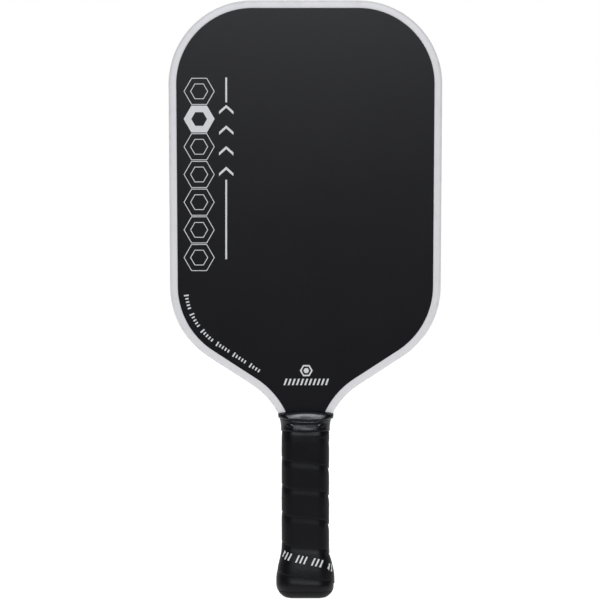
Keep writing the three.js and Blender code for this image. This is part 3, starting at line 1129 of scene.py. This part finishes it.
def print_figures(figures: Sequence[Figure], lay: Lay, thick: float) -> Solid:
    """Turns flat figures into thin solids.

    Args:
        figures: the figures, which don't touch each other.
        lay: gives the point in space for a figure's X and Z and a height above the surface.
        thick: how thick the ink is. Half of it is sunk in the surface.

    Returns:
        The solids, as one mesh.
    """
    solid = Solid()
    for figure in figures:
        base = len(solid.points)
        count = len(figure.corners)
        loops = [figure.corners] if figure.line == 0.0 else [figure.corners, figure.inner()]
        for height in (-thick / 2, thick / 2):
            for loop in loops:
                solid.points.extend(lay(x, z, height) for x, z in loop)
        top = base + count * len(loops)
        for i in range(count):
            j = (i + 1) % count
            solid.faces.append((base + i, base + j, top + j, top + i))
            if len(loops) == 2:
                solid.faces.append((base + count + j, base + count + i, top + count + i, top + count + j))
                solid.faces.append((top + i, top + j, top + count + j, top + count + i))
                solid.faces.append((base + j, base + i, base + count + i, base + count + j))
        if len(loops) == 1:
            solid.faces.append(tuple(top + i for i in range(count)))
            solid.faces.append(tuple(base + i for i in reversed(range(count))))
    return solid


# ---------------------------------------------------------------- the blade


class Face(Enum):
    """The two faces of the blade. The value is which way along Y each looks."""

    FRONT = -1
    REAR = 1

    @property
    def word(self) -> str:
        """The face's name in the names of pieces."""
        return self.name.lower()


@dataclass
class Panel:
    """The flat panel: its face sheets and the print on them, over the glued core."""

    outline: Outline
    inset: float
    bottom: float
    film_outside: float
    face_outside: float
    ink: float = 0.05 * MM
    column_x: float = -74.2 * MM
    column_top: float = 363.6 * MM
    column_pitch: float = 19.35 * MM
    column_cells: int = 7
    bold_cell: int = 1
    cell_gap: float = 0.6 * MM
    cell_line: float = 0.5 * MM
    bold_line: float = 4.6 * MM
    inner_share: float = 0.58
    side_x: float = -55.3 * MM
    side_line: float = 1.25 * MM
    short_line: Point2 = (17.4 * MM, 354.9 * MM)
    long_line: Point2 = (55.5 * MM, 264.4 * MM)
    chevrons: int = 4
    chevron_top: float = 341.2 * MM
    chevron_pitch: float = 14.4 * MM
    scale_inset: float = 10.9 * MM
    scale_range: Point2 = (149 * MM, 211 * MM)
    scale_pitch: float = 2.3 * MM
    scale_group: int = 5
    badge_x: float = 0.6 * MM
    badge_z: float = 158.9 * MM
    bars: int = 11
    bars_z: float = 151 * MM
    bars_pitch: float = 2.9 * MM

    def build(self) -> None:
        """Makes the two face sheets, prints them, and dresses the hidden layers."""
        carbon = CarbonFace().material()
        ink = PrintInk().material()
        edge = [station.inset(self.inset) for station in self.outline.whole(self.bottom)]
        for face in Face:
            side = face.value
            solid = Solid()
            near, far = side * self.film_outside, side * self.face_outside
            solid.add_rings([[(x, y, z) for x, z in edge] for y in (near, far)])
            sheet = make_object(f"{face.word}_carbon_sheet", solid, carbon)
            add_piece(sheet, "carbon_face", f"{face.word}_face_sheet")
            self.print_face(face, ink)
        film = ClearishFilm("core_adhesive", pale=(0.62, 0.53, 0.33), thick=(0.45, 0.34, 0.17))
        dress(film.material(), "front_adhesive_film", "rear_adhesive_film")
        pale, scuffed = (0.72, 0.74, 0.72), (0.62, 0.63, 0.6)
        core = MouldedPlastic("core_plastic", colour=pale, scuffed=scuffed, polish=Polish.SATIN)
        dress(core.material(), "honeycomb_core")

    def print_face(self, face: Face, ink: bpy.types.Material) -> None:
        """Prints one face.

        Args:
            face: which one.
            ink: the ink's finish.
        """
        side = face.value

        def lay(x: float, z: float, height: float) -> Point3:
            """Lays a point of the print on this face. It reads the same way round on both faces."""
            return -side * x, side * (self.face_outside + height), z

        groups = {
            "cells": self.cell_column(),
            "marks": self.side_marks(),
            "scale": self.curved_scale(),
            "badge": self.throat_badge(),
        }
        for word, figures in groups.items():
            made = make_object(f"{face.word}_print_{word}", print_figures(figures, lay, self.ink), ink)
            add_piece(made, "face_print")

    def cell_column(self) -> list[Figure]:
        """A column of outlined honeycomb cells down the left side, one of them bold.

        Returns:
            The figures.
        """
        flats = self.column_pitch - self.cell_gap
        figures = []
        for k in range(self.column_cells):
            z = self.column_top - (k + 0.5) * self.column_pitch
            if k == self.bold_cell:
                nest = [hexagon(flats, self.bold_line)]
            else:
                nest = [hexagon(flats * share, self.cell_line) for share in (1.0, self.inner_share)]
            figures += [cell.moved(self.column_x, z) for cell in nest]
        return figures

    def side_marks(self) -> list[Figure]:
        """Bold chevrons beside the cells, between a short line and a long one.

        Returns:
            The figures.
        """
        lines = (self.short_line, self.long_line)
        figures = [bar(self.side_line, length).moved(self.side_x, z) for length, z in lines]
        mark = chevron(width=10 * MM, height=6.6 * MM, stroke=2.1 * MM)
        heights = [self.chevron_top - k * self.chevron_pitch for k in range(self.chevrons)]
        return figures + [mark.moved(self.side_x, z) for z in heights]

    def curved_scale(self) -> list[Figure]:
        """A scale that follows the lower left corner, in groups of marks, the first of each one longer.

        Returns:
            The figures.
        """
        low, high = self.scale_range
        run = [station.mirrored() for station in self.outline.right_side(self.bottom)]
        run = [station for station in reversed(run) if low < station.z < high]
        first, other = (bar(width=length, height=1.0 * MM) for length in (3.4 * MM, 2.3 * MM))
        figures = []
        walked = due = 0.0
        count = 0
        for a, b in zip(run, run[1:]):
            start, stop = a.inset(self.scale_inset), b.inset(self.scale_inset)
            gap = math.dist(start, stop)
            turn = math.atan2(a.out_z, a.out_x)
            while due <= walked + gap:
                t = (due - walked) / gap
                number = count % (self.scale_group + 1)
                if number < self.scale_group:
                    mark = first if number == 0 else other
                    figures.append(mark.moved(lerp(start[0], stop[0], t), lerp(start[1], stop[1], t), turn))
                due += self.scale_pitch
                count += 1
            walked += gap
        return figures

    def throat_badge(self) -> list[Figure]:
        """A small cell with a filled middle, over a row of slanted bars, just above the throat.

        Returns:
            The figures.
        """
        cell = [hexagon(flats=7.8 * MM, line=1.0 * MM), hexagon(flats=3.4 * MM)]
        figures = [figure.moved(self.badge_x, self.badge_z) for figure in cell]
        slanted = bar(width=1.3 * MM, height=4.5 * MM, slant=1.6 * MM)
        left = self.badge_x - (self.bars - 1) / 2 * self.bars_pitch
        return figures + [slanted.moved(left + k * self.bars_pitch, self.bars_z) for k in range(self.bars)]


@dataclass
class EdgeGuard:
    """The white U-channel round the blade. Its section goes round the rim of the panel."""

    outline: Outline
    half_depth: float
    panel_half: float
    end: float
    band: float = 5.4 * MM
    web: float = 1.2 * MM
    corner: float = 2.2 * MM
    corner_depth: float = 0.9
    corner_steps: int = 6
    lip_round: float = 0.45 * MM
    lip_drop: float = 0.03 * MM
    lip_start: float = 2.2
    lip_depth: float = 1.4
    gap: float = 0.02 * MM

    def section(self) -> list[tuple[float, float, float, float]]:
        """The channel's section.

        Returns:
            The points round it, each as its inset, its Y, how much it is rubbed, and how much painted shade
            it gets beside the face.
        """
        half, steps = self.half_depth, self.corner_steps
        side = [(0.0, 0.0, 0.0, 0.0), (0.0, (half - self.corner) / 2, 0.0, 0.0)]
        for i in range(steps + 1):
            angle = i / steps * math.pi / 2
            inset = self.corner * (1 - math.cos(angle))
            y = half - self.corner * self.corner_depth * (1 - math.sin(angle))
            side.append((inset, y, math.sin(2 * angle), 0.0))
        lip = half - self.lip_drop
        # The last number is the painted shade, which grows along the lip towards the face.
        side.append((self.band - self.lip_start * self.lip_round, lip, 0.0, 0.1))
        for i in range(1, steps):
            angle = i / steps * math.pi / 2
            inset = self.band - self.lip_round * (1 - math.sin(angle))
            y = lip - self.lip_depth * self.lip_round * (1 - math.cos(angle))
            side.append((inset, y, 0.0, lerp(0.2, 1.0, i / steps)))
        inside = self.panel_half + self.gap
        side += [(self.band, inside, 0.0, 1.0), (self.web, inside, 0.0, 1.0)]
        back = [(inset, -y, rub, tuck) for inset, y, rub, tuck in reversed(side)]
        return side + back[:-1]

    def build(self) -> None:
        """Sweeps the channel round the rim and dresses its adhesive."""
        section = self.section()
        solid = Solid()
        rings = []
        for station in self.outline.whole(self.end):
            flat = [station.inset(inset) for inset, _, _, _ in section]
            rings.append([(x, point[1], z) for (x, z), point in zip(flat, section)])
            # rub marks the worn outer corners, tuck the painted shade beside the face.
            solid.add_value("rub", [rub for _, _, rub, _ in section])
            solid.add_value("tuck", [tuck for _, _, _, tuck in section])
        solid.add_rings(rings)
        guard = make_object("edge_guard_channel", solid, GuardPlastic().material())
        add_piece(guard, "white_guard", "edge_guard")
        foam = ClearishFilm("rim_adhesive", pale=(0.83, 0.82, 0.78), thick=(0.7, 0.67, 0.6))
        dress(foam.material(), "edge_guard_adhesive")


# ---------------------------------------------------------------- the handle


@dataclass
class SpiralWrap:
    """The grip strip: each turn laps over the upper edge of the turn below it.

    Its skin is full over most of a turn, low where the next turn's edge lies on it, and thin under the lap.
    """

    section: HandleSection
    bottom: float
    top: float
    collar_bottom: float
    inside: float = 0.42 * MM
    full: float = 2.02 * MM
    low: float = 1.46 * MM
    thin: float = 0.85 * MM
    lap: float = 4 * MM
    lap_slack: float = 0.03 * MM
    lap_end: float = 1.2 * MM
    first_seam: float = 14.9 * MM
    pitch: float = 21.5 * MM
    tightening: float = 0.38 * MM
    wander: tuple[Point3, ...] = ((0.28 * MM, 9.1, 0.6), (0.17 * MM, 23.7, 0.0))
    crown: float = 0.05 * MM
    fall: float = 4.6 * MM
    butt_fall: float = 5.4 * MM
    butt_range: Point2 = (12 * MM, 26 * MM)
    fall_end: float = 0.2 * MM
    calm: float = 0.55
    calm_range: Point2 = (100 * MM, 108 * MM)
    lumps: tuple[Point3, ...] = ((0.07 * MM, 7 * MM, 0.0), (0.05 * MM, 3 * MM, 4.0))
    belly: float = 0.6 * MM
    belly_middle: float = 9.3 * MM
    belly_reach: float = 3 * MM
    flat_range: Point2 = (9 * MM, 15 * MM)
    squeeze_start: Point2 = (0.3 * MM, 3.4 * MM)
    squeeze_end: float = 0.7 * MM
    squeezed: float = 0.36
    edge_round: float = 0.42 * MM
    edge_thin: float = 0.12
    rubbed_range: Point2 = (0.3 * MM, 1.6 * MM)
    tail: float = 0.8 * MM
    points_across: int = 48
    crowding: float = 1.6
    print_middle: float = 27.2 * MM
    print_reach: int = 7
    print_pitch: float = 2.75 * MM
    print_slope: float = -0.07
    print_lift: float = 0.05 * MM
    print_ink: float = 0.12 * MM

    def seam(self, turns: float) -> float:
        """The height of the strip's lower edge.

        Args:
            turns: how far along the spiral, counted from the front's lowest seam.

        Returns:
            The height there, with the little that a hand strays as it winds.
        """
        wander = sum(size * math.sin(turns * rate + start) for size, rate, start in self.wander)
        return self.first_seam + self.pitch * turns - self.tightening * turns * turns + wander

    def facing(self, y: float) -> float:
        """How squarely the skin at a Y looks forward or back: 0 on the narrow flats, 1 on the broad ones."""
        return smoothstep(*self.flat_range, abs(y))

    def pressed(self, place: float, z: float, offset: float, facing: float) -> Point3:
        """A point of the strip, thinned where the collar squeezes it.

        Args:
            place: how far round the handle.
            z: its height.
            offset: its offset before the squeeze.
            facing: 1 on the broad flats, where the squeeze starts lower down, and 0 on the narrow ones.

        Returns:
            The point.
        """
        start = self.collar_bottom - lerp(*self.squeeze_start, facing)
        squeeze = smoothstep(start, self.collar_bottom + self.squeeze_end, z)
        return self.section.point(place, z, lerp(offset, lerp(self.inside, offset, self.squeezed), squeeze))

    def skin(self, above: float, pitch: float, z: float) -> float:
        """How far out the strip's outer skin is.

        Args:
            above: the height above the strip's lower edge.
            pitch: the height from this turn's lower edge to the next one's.
            z: the height.

        Returns:
            The skin's offset.
        """
        crown = self.crown * math.sin(math.pi * min(1.0, above / pitch))
        reach = lerp(self.butt_fall, self.fall, smoothstep(*self.butt_range, z))
        fall = smoothstep(pitch - reach, pitch - self.fall_end, above)
        fall *= 1 - self.calm * smoothstep(*self.calm_range, z)
        hidden = smoothstep(pitch, pitch + self.lap, above)
        return self.full + crown - fall * (self.full - self.low) - hidden * (self.low - self.thin)

    def back(self, above: float) -> float:
        """How far out the strip's back is at a height above its lower edge. It climbs over the turn below."""
        below = self.low - smoothstep(0.0, self.lap, above) * (self.low - self.thin) + self.lap_slack
        return lerp(below, self.inside, smoothstep(self.lap, self.lap + self.lap_end, above))

    def outer_point(self, place: float, z: float, above: float, pitch: float, lift: float = 0.0) -> Point3:
        """A point on the outer skin, with its small lumps and its belly at the butt.

        Args:
            place: how far round the handle.
            z: its height.
            above: its height above the strip's lower edge.
            pitch: the height from this turn's lower edge to the next one's.
            lift: how far the point is raised off the skin.

        Returns:
            The point.
        """
        skin = self.skin(above, pitch, z)
        flat = self.section.point(place, z, skin)
        facing = self.facing(flat[1])
        lumps = sum(size * ripple(flat, reach, seed) for size, reach, seed in self.lumps)
        belly = self.belly * facing * math.exp(-(((z - self.belly_middle) / self.belly_reach) ** 2))
        return self.pressed(place, z, skin + lumps + belly + lift, facing)

    def back_point(self, place: float, z: float, above: float) -> Point3:
        """A point on the strip's back."""
        facing = self.facing(self.section.point(place, z, self.full)[1])
        return self.pressed(place, z, self.back(above), facing)

    def station(self, turns: float) -> tuple[list[Point3], list[float]]:
        """The strip's section after that many turns.

        Args:
            turns: how far along the spiral.

        Returns:
            The points round the section, and how much each is the raised lower edge.
        """
        place = self.section.front - turns * self.section.count
        edge = self.seam(turns)
        pitch = self.seam(turns + 1) - edge
        low = max(edge, self.bottom)
        high = min(edge + pitch + self.lap, self.top)
        half = self.points_across // 2
        ring, raised = [], []
        for i in range(half):
            z = low + (high - low) * (i / (half - 1)) ** self.crowding
            skin = self.outer_point(place, z, z - edge, pitch)
            back = self.back_point(place, z, z - edge)
            soft = min(rounding(z - low, self.edge_round), rounding(high - z, self.edge_round))
            ring.append(tuple(lerp(b, s, max(soft, self.edge_thin)) for b, s in zip(back, skin)))
            raised.append(1 - smoothstep(*self.rubbed_range, z - low))
        for i in reversed(range(half)):
            z = lerp(low, high, i / (half - 1))
            ring.append(self.back_point(place, z, z - edge))
            raised.append(0.0)
        return ring, raised

    def build(self) -> None:
        """Winds the strip from the butt to the collar."""
        step = 1 / self.section.count
        turns = -2.0
        while self.seam(turns + 1) + self.lap < self.bottom + self.tail:
            turns += step
        solid = Solid()
        rings = []
        while self.seam(turns) < self.top - self.tail:
            ring, raised = self.station(turns)
            rings.append(ring)
            solid.add_value("lap", raised)
            turns += step
        solid.add_rings(rings)
        strip = make_object("grip_strip", solid, GripLeather().material(), crease=50.0)
        add_piece(strip, "grip_wrap", "grip_wrap")

    def print_marks(self) -> None:
        """Prints slanted bars in threes along the lowest whole turn, on the front."""
        section = self.section
        middle = self.print_middle
        reach = [section.point(i, middle, self.full) for i in range(section.count)]
        gaps = [math.dist(a, b) for a, b in zip(reach, reach[1:] + reach[:1])]

        def place_at(x: float) -> float:
            """Walks along the skin from the middle of the front.

            Args:
                x: how far to walk, below zero to go left.

            Returns:
                The place round the handle that it comes to.
            """
            place = section.front
            left = abs(x)
            while left > 0:
                k = int(place // 1) if x > 0 else math.ceil(place) - 1
                room = (k + 1 - place) if x > 0 else (place - k)
                gap = gaps[k % section.count]
                share = min(room, left / gap)
                place += math.copysign(share, x)
                left -= share * gap
            return place

        def lay(x: float, z: float, height: float) -> Point3:
            """Lays a point of the print on the strip, along the slope of the winding.

            Args:
                x: how far along the skin it is from the middle of the front.
                z: how far above the print's middle line.
                height: how far above the skin.

            Returns:
                The point.
            """
            place = place_at(x)
            turns = (section.front - place) / section.count
            edge = self.seam(turns)
            pitch = self.seam(turns + 1) - edge
            up = middle + z + edge - self.seam(0.0)
            return self.outer_point(place, up, up - edge, pitch, height + self.print_lift)

        slanted = bar(width=1.1 * MM, height=5.4 * MM, slant=2.0 * MM)
        slanted = Figure(divided(slanted.corners, pieces=6))
        # Every fourth place stays empty, which leaves the bars in threes.
        along = [k * self.print_pitch for k in range(-self.print_reach, self.print_reach + 1) if k % 4 != 1]
        figures = [slanted.moved(x, self.print_slope * x, self.print_slope) for x in along]
        ink = PrintInk("grip_ink", full=(0.78, 0.78, 0.79), thin=(0.6, 0.6, 0.61)).material()
        made = make_object("grip_print", print_figures(figures, lay, self.print_ink), ink)
        add_piece(made, "face_print")


@dataclass
class Collar:
    """The rubber collar: a bead, a body, a crease, and a shoulder that slopes in to the blade's faces."""

    section: HandleSection
    shoulder_range: Point2 = (120.8 * MM, 129 * MM)
    rise: float = 2.2 * MM
    crease: float = 123.1 * MM
    crease_reach: float = 2.1 * MM
    smile: float = 2.0 * MM
    body_crown: float = 0.12
    shoulder_crown: float = 0.1
    lean: float = 0.35 * MM
    sag: float = 0.35 * MM
    sag_rate: float = 1.4
    sag_start: float = 0.4
    corner: Point2 = (1.25, 1.8)
    outer_steps: int = 96
    inner_steps: int = 18
    outside: tuple[tuple[float, ...], ...] = (
        (116.7, 16.75, 15.05, 5.2),
        (116.78, 17.0, 15.45, 5.3),
        (117.0, 17.08, 15.66, 5.35),
        (117.6, 17.12, 15.62, 5.35),
        (118.3, 17.12, 15.5, 5.35),
        (119.3, 17.15, 15.28, 5.3),
        (120.3, 17.22, 15.05, 5.25),
        (121.2, 17.4, 14.86, 5.2),
        (121.9, 17.6, 14.78, 5.1),
        (122.6, 17.85, 14.75, 5.0),
        (122.97, 18.0, 14.6, 4.9),
        (123.1, 18.05, 14.15, 4.8),
        (123.22, 18.2, 14.58, 4.7),
        (123.6, 18.4, 14.66, 4.5),
        (124.4, 18.8, 14.56, 4.1),
        (125.3, 19.05, 14.3, 3.8),
        (126.3, 19.3, 13.94, 3.5),
        (127.2, 19.4, 13.5, 3.3),
        (127.9, 19.43, 12.9, 3.1),
        (128.5, 19.45, 11.9, 2.9),
        (128.95, 19.4, 10.9, 2.7),
        (129.15, 19.25, 10.25, 2.5),
    )
    inside: tuple[tuple[float, ...], ...] = (
        (116.72, 15.65, 14.05, 4.7),
        (117.3, 15.9, 14.3, 4.75),
        (121, 16.2, 14.5, 4.8),
        (123, 17, 13, 4.2),
        (125.4, 18.1, 11.6, 3.2),
        (127.4, 18.8, 10.4, 2.2),
        (129, 19.25, 9.6, 1.4),
    )

    def ring(self, row: Sequence[float], swell: float) -> list[Point3]:
        """One ring of the collar.

        Args:
            row: its height, half width, half depth and bevel, in millimetres.
            swell: how much of the small unevenness it gets.

        Returns:
            Its points.
        """
        height, half_width, half_depth, bevel = (value * MM for value in row)
        near = smoothstep(*self.shoulder_range, height)
        corner = lerp(*self.corner, swell) * bevel
        crown = swell * lerp(self.body_crown, self.shoulder_crown, near)
        fold = swell * math.exp(-(((height - self.crease) / self.crease_reach) ** 2))
        sag = swell * self.sag * near * (1 - near) * 4
        points = []
        for i in range(self.section.count):
            x, y = self.section.spot(i, half_width, half_depth, bevel, corner)
            side = x / half_width
            z = height + self.rise * near * (1 - side**2) + fold * self.smile * side**2
            coarse = 0.12 * MM * ripple((x, y, z * 2), 9 * MM, 2.0)
            fine = 0.03 * MM * ripple((x, y, z), 2.5 * MM, 7.0)
            grow = 1 + swell * (coarse + fine) / math.hypot(x, y)
            out_x = x * grow + swell * self.lean * near
            out_y = y * grow * (1 - crown * side**2)
            points.append((out_x, out_y, z - sag * math.sin(side * self.sag_rate + self.sag_start)))
        return points

    def build(self) -> None:
        """Makes the collar."""
        rings = [
            self.ring(spline(self.outside, i / (self.outer_steps - 1)), 1.0)
            for i in range(self.outer_steps)
        ]
        rings += [
            self.ring(spline(self.inside, 1 - i / (self.inner_steps - 1)), 0.0)
            for i in range(self.inner_steps)
        ]
        solid = Solid()
        solid.add_rings(rings, closed=True)
        collar = make_object("rubber_collar", solid, CollarRubber().material(), crease=60.0)
        add_piece(collar, "collar_rubber", "grip_collar")


@dataclass
class ButtCap:
    """The butt cap with its domed end, and the badge in it."""

    section: HandleSection
    wrapped: float = 2.0 * MM
    rim_tuck: float = 0.06 * MM
    under_wrap: float = 0.3 * MM
    rim: float = 5.3 * MM
    top: float = 27 * MM
    floor: float = 7.05 * MM
    pocket: float = 0.2 * MM
    recess_radius: float = 6.3 * MM
    recess_depth: float = 1.1 * MM
    badge_radius: float = 6.2 * MM
    badge_face: float = 0.3 * MM
    dome_steps: int = 14
    skirt_steps: int = 12

    def build(self) -> None:
        """Makes the cap and the badge."""
        section = self.section
        recess = [
            (-0.4 * MM, self.recess_depth),
            (0.0, self.recess_depth),
            (0.0, 0.15 * MM),
            (0.12 * MM, 0.0),
            (0.5 * MM, 0.0),
            (0.62 * MM, 0.12 * MM),
            (0.85 * MM, 0.12 * MM),
        ]
        rings = [section.circle(self.recess_radius + out, z) for out, z in recess]
        for i in range(self.dome_steps + 1):
            z = self.rim * (i / self.dome_steps) ** 2
            tuck = self.rim_tuck if i == self.dome_steps else 0.0
            rings.append(section.ring(z, self.wrapped - tuck))
        for i in range(self.skirt_steps + 1):
            rings.append(section.ring(lerp(self.rim, self.top, i / self.skirt_steps), self.under_wrap))
        pocket = section.ring(section.flare_top, self.pocket)
        rings += [[(x, y, z) for x, y, _ in pocket] for z in (self.top, self.floor)]
        solid = Solid()
        solid.add_rings(rings)
        dark, scuffed = (0.0012, 0.0012, 0.0016), (0.005, 0.005, 0.006)
        black = MouldedPlastic("cap_plastic", colour=dark, scuffed=scuffed, polish=Polish.SPARKED, shine=0.2)
        cap = make_object("butt_cap_moulding", solid, black.material())
        add_piece(cap, "black_cap", "butt_cap")
        self.build_badge()

    def hexagon_ring(self, flats: float, z: float) -> list[Point3]:
        """A ring whose points lie on a hexagon.

        Args:
            flats: the hexagon's size from flat to flat.
            z: its height.

        Returns:
            The points.
        """
        points = []
        for x, y, _ in self.section.circle(1.0, z):
            angle = math.atan2(y, x) % (math.pi / 3) - math.pi / 6
            radius = flats / 2 / math.cos(angle)
            points.append((x * radius, y * radius, z))
        return points

    def build_badge(self) -> None:
        """Makes the badge, a disc with a bevelled edge and a plain cell sunk into it."""
        edge = [(0.0, 0.8), (0.0, 0.25), (0.12, 0.06), (0.35, 0.0)]
        edge += [(0.9, 0.0), (1.0, 0.12), (1.15, 0.12), (1.25, 0.0)]
        cell = [(7.0, 0.0), (6.7, 0.22), (4.6, 0.22), (4.3, 0.04)]
        radius, face = self.badge_radius, self.badge_face
        rings = [self.section.circle(radius - inset * MM, face + up * MM) for inset, up in edge]
        rings += [self.hexagon_ring(flats * MM, face + up * MM) for flats, up in cell]
        solid = Solid()
        solid.add_rings(rings)
        pale, scuffed = (0.6, 0.6, 0.62), (0.45, 0.45, 0.46)
        plastic = MouldedPlastic("badge_plastic", colour=pale, scuffed=scuffed, polish=Polish.POLISHED)
        badge = make_object("butt_badge_disc", solid, plastic.material())
        add_piece(badge, "cap_badge", "butt_badge")


@dataclass
class HiddenTapes:
    """The tape under the strip, and the tape that holds the strip's end down."""

    section: HandleSection
    underlay: Point2 = (0.1 * MM, 0.3 * MM)
    band: Point2 = (1.1 * MM, 1.3 * MM)

    def sleeve(self, low: float, high: float, inside: float, outside: float, steps: int) -> Solid:
        """A thin sleeve round the handle.

        Args:
            low: the height of its lower end.
            high: the height of its upper end.
            inside: the offset of its inner skin.
            outside: the offset of its outer skin.
            steps: how many rows of faces it has.

        Returns:
            The sleeve.
        """
        heights = [lerp(low, high, i / steps) for i in range(steps + 1)]
        rings = [self.section.ring(z, outside) for z in heights]
        rings += [self.section.ring(z, inside) for z in reversed(heights)]
        solid = Solid()
        solid.add_rings(rings, closed=True)
        return solid

    def build(self) -> None:
        """Makes both tapes."""
        low, high = (corner.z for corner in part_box("grip_tape"))
        underlay = self.sleeve(low, high, *self.underlay, steps=40)
        paper = FibreTape("grip_tape_paper", weft=(0.5, 0.41, 0.24), warp=(0.36, 0.28, 0.15), roughness=0.55)
        add_piece(make_object("grip_underlay", underlay, paper.material()), "tape", "grip_tape")
        low, high = (corner.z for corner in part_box("finishing_tape"))
        band = self.sleeve(low, high, *self.band, steps=4)
        dark, darkest = (0.02, 0.02, 0.022), (0.012, 0.012, 0.013)
        vinyl = FibreTape("finishing_vinyl", weft=darkest, warp=dark, roughness=0.25)
        made = make_object("finishing_band", band, vinyl.material())
        add_piece(made, "collar_rubber", "finishing_tape")


@dataclass
class Handle:
    """Everything round the tang: shells, cap, staples, tapes, strip and collar."""

    section: HandleSection

    def build(self) -> None:
        """Makes the handle's pieces, from the inside out."""
        dress(HandleFoam().material(), "front_handle_shell", "rear_handle_shell")
        pads = ClearishFilm("shell_adhesive", pale=(0.7, 0.62, 0.42), thick=(0.5, 0.4, 0.22))
        dress(pads.material(), "front_shell_adhesive", "rear_shell_adhesive")
        dress(DrawnSteel().material(), *(f"butt_cap_staple_{i}" for i in (1, 2, 3, 4)))
        ButtCap(self.section).build()
        HiddenTapes(self.section).build()
        low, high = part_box("grip_wrap")
        collar_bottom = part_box("grip_collar")[0].z
        wrap = SpiralWrap(self.section, low.z, high.z, collar_bottom)
        wrap.build()
        wrap.print_marks()
        Collar(self.section).build()


# ---------------------------------------------------------------- the studio


@dataclass(frozen=True)
class Softbox:
    """A softbox: where it hangs, the point that it looks at, its size, its power and its colour."""

    name: str
    place: Point3
    aim: Point3
    width: float
    height: float
    watts: float
    colour: Colour = (0.93, 0.955, 1.0)

    def hang(self) -> None:
        """Hangs it in the scene."""
        light = bpy.data.lights.new(self.name, "AREA")
        light.shape = "RECTANGLE"
        light.size = self.width
        light.size_y = self.height
        light.energy = self.watts
        light.color = self.colour
        made = link_new(self.name, light)
        made.location = self.place
        made.rotation_mode = "QUATERNION"
        made.rotation_quaternion = (Vector(self.aim) - Vector(self.place)).to_track_quat("-Z", "Y")


@dataclass
class Studio:
    """The floor, the lights and the camera."""

    paddle_bottom: float
    floor_half: float = 12.0
    floor_gap: float = 0.1 * MM
    lens: float = 150.0
    sensor: float = 36.0
    picture_width: float = 419.0 * MM
    camera_x: float = -3.77 * MM
    camera_z: float = 208.2 * MM
    front_y: float = -8 * MM
    front_glow: float = 0.05
    back_glow: float = 0.6
    glow_range: Point2 = (-0.35, 0.75)

    def build(self) -> None:
        """Makes everything that isn't the paddle."""
        self.add_floor()
        self.add_sky()
        softboxes = (
            Softbox("front_softbox", (0.0, -1.3, 0.95), (0.0, 0.0, 0.3), width=0.8, height=0.45, watts=12.0),
            Softbox("top_softbox", (0.0, -0.35, 1.35), (0.0, 0.0, 0.2), width=1.2, height=0.7, watts=0.9),
        )
        for softbox in softboxes:
            softbox.hang()
        self.add_camera()

    def add_floor(self) -> None:
        """Lays the floor that the paddle stands on."""
        half = self.floor_half
        mesh = bpy.data.meshes.new("studio_floor")
        corners = [(-half, -half, 0.0), (half, -half, 0.0), (half, half, 0.0), (-half, half, 0.0)]
        mesh.from_pydata(corners, [], [(0, 1, 2, 3)])
        mesh.materials.append(StudioFloor().material())
        floor = link_new("studio_floor", mesh)
        floor.location.z = self.paddle_bottom - self.floor_gap
        floor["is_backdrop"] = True

    def add_sky(self) -> None:
        """Surrounds the scene with soft light, dim in front of the paddle. The backdrop itself is white."""
        paint = Paint("studio_sky", Ground.SKY)
        _, y, _ = paint.axes(paint.node("ShaderNodeTexCoord", output="Generated"))
        glow = self.front_glow + paint.eased(y, *self.glow_range) * (self.back_glow - self.front_glow)
        backdrop = paint.node("ShaderNodeLightPath", output="Is Camera Ray")
        strength = paint.maths("MAXIMUM", glow, backdrop)
        bpy.context.scene.world = paint.finish(Color=(1.0, 1.0, 1.0), Strength=strength)

    def add_camera(self) -> None:
        """Sets up a long lens square on to the front face."""
        data = bpy.data.cameras.new("camera")
        data.lens = self.lens
        data.sensor_width = self.sensor
        camera = link_new("camera", data)
        distance = self.picture_width * self.lens / self.sensor
        camera.location = (self.camera_x, self.front_y - distance, self.camera_z)
        camera.rotation_euler = (math.pi / 2, 0.0, 0.0)
        bpy.context.scene.camera = camera
        bpy.context.scene.view_settings.view_transform = "Standard"


def main() -> None:
    """Builds the paddle and the studio."""
    logging.basicConfig(level=logging.INFO, format="%(name)s %(message)s")
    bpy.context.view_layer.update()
    guard_low, guard_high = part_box("edge_guard")
    face_low, face_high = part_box("front_face_sheet")
    outline = Outline(length=guard_high.z, half_width=guard_high.x)
    low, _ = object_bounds()
    Studio(low.z).build()
    Panel(
        outline=outline,
        inset=guard_high.x - face_high.x,
        bottom=face_low.z,
        film_outside=-face_high.y,
        face_outside=-face_low.y,
    ).build()
    EdgeGuard(outline, guard_high.y, -face_low.y, guard_low.z).build()
    Handle(HandleSection()).build()


if __name__ == "__main__":
    main()
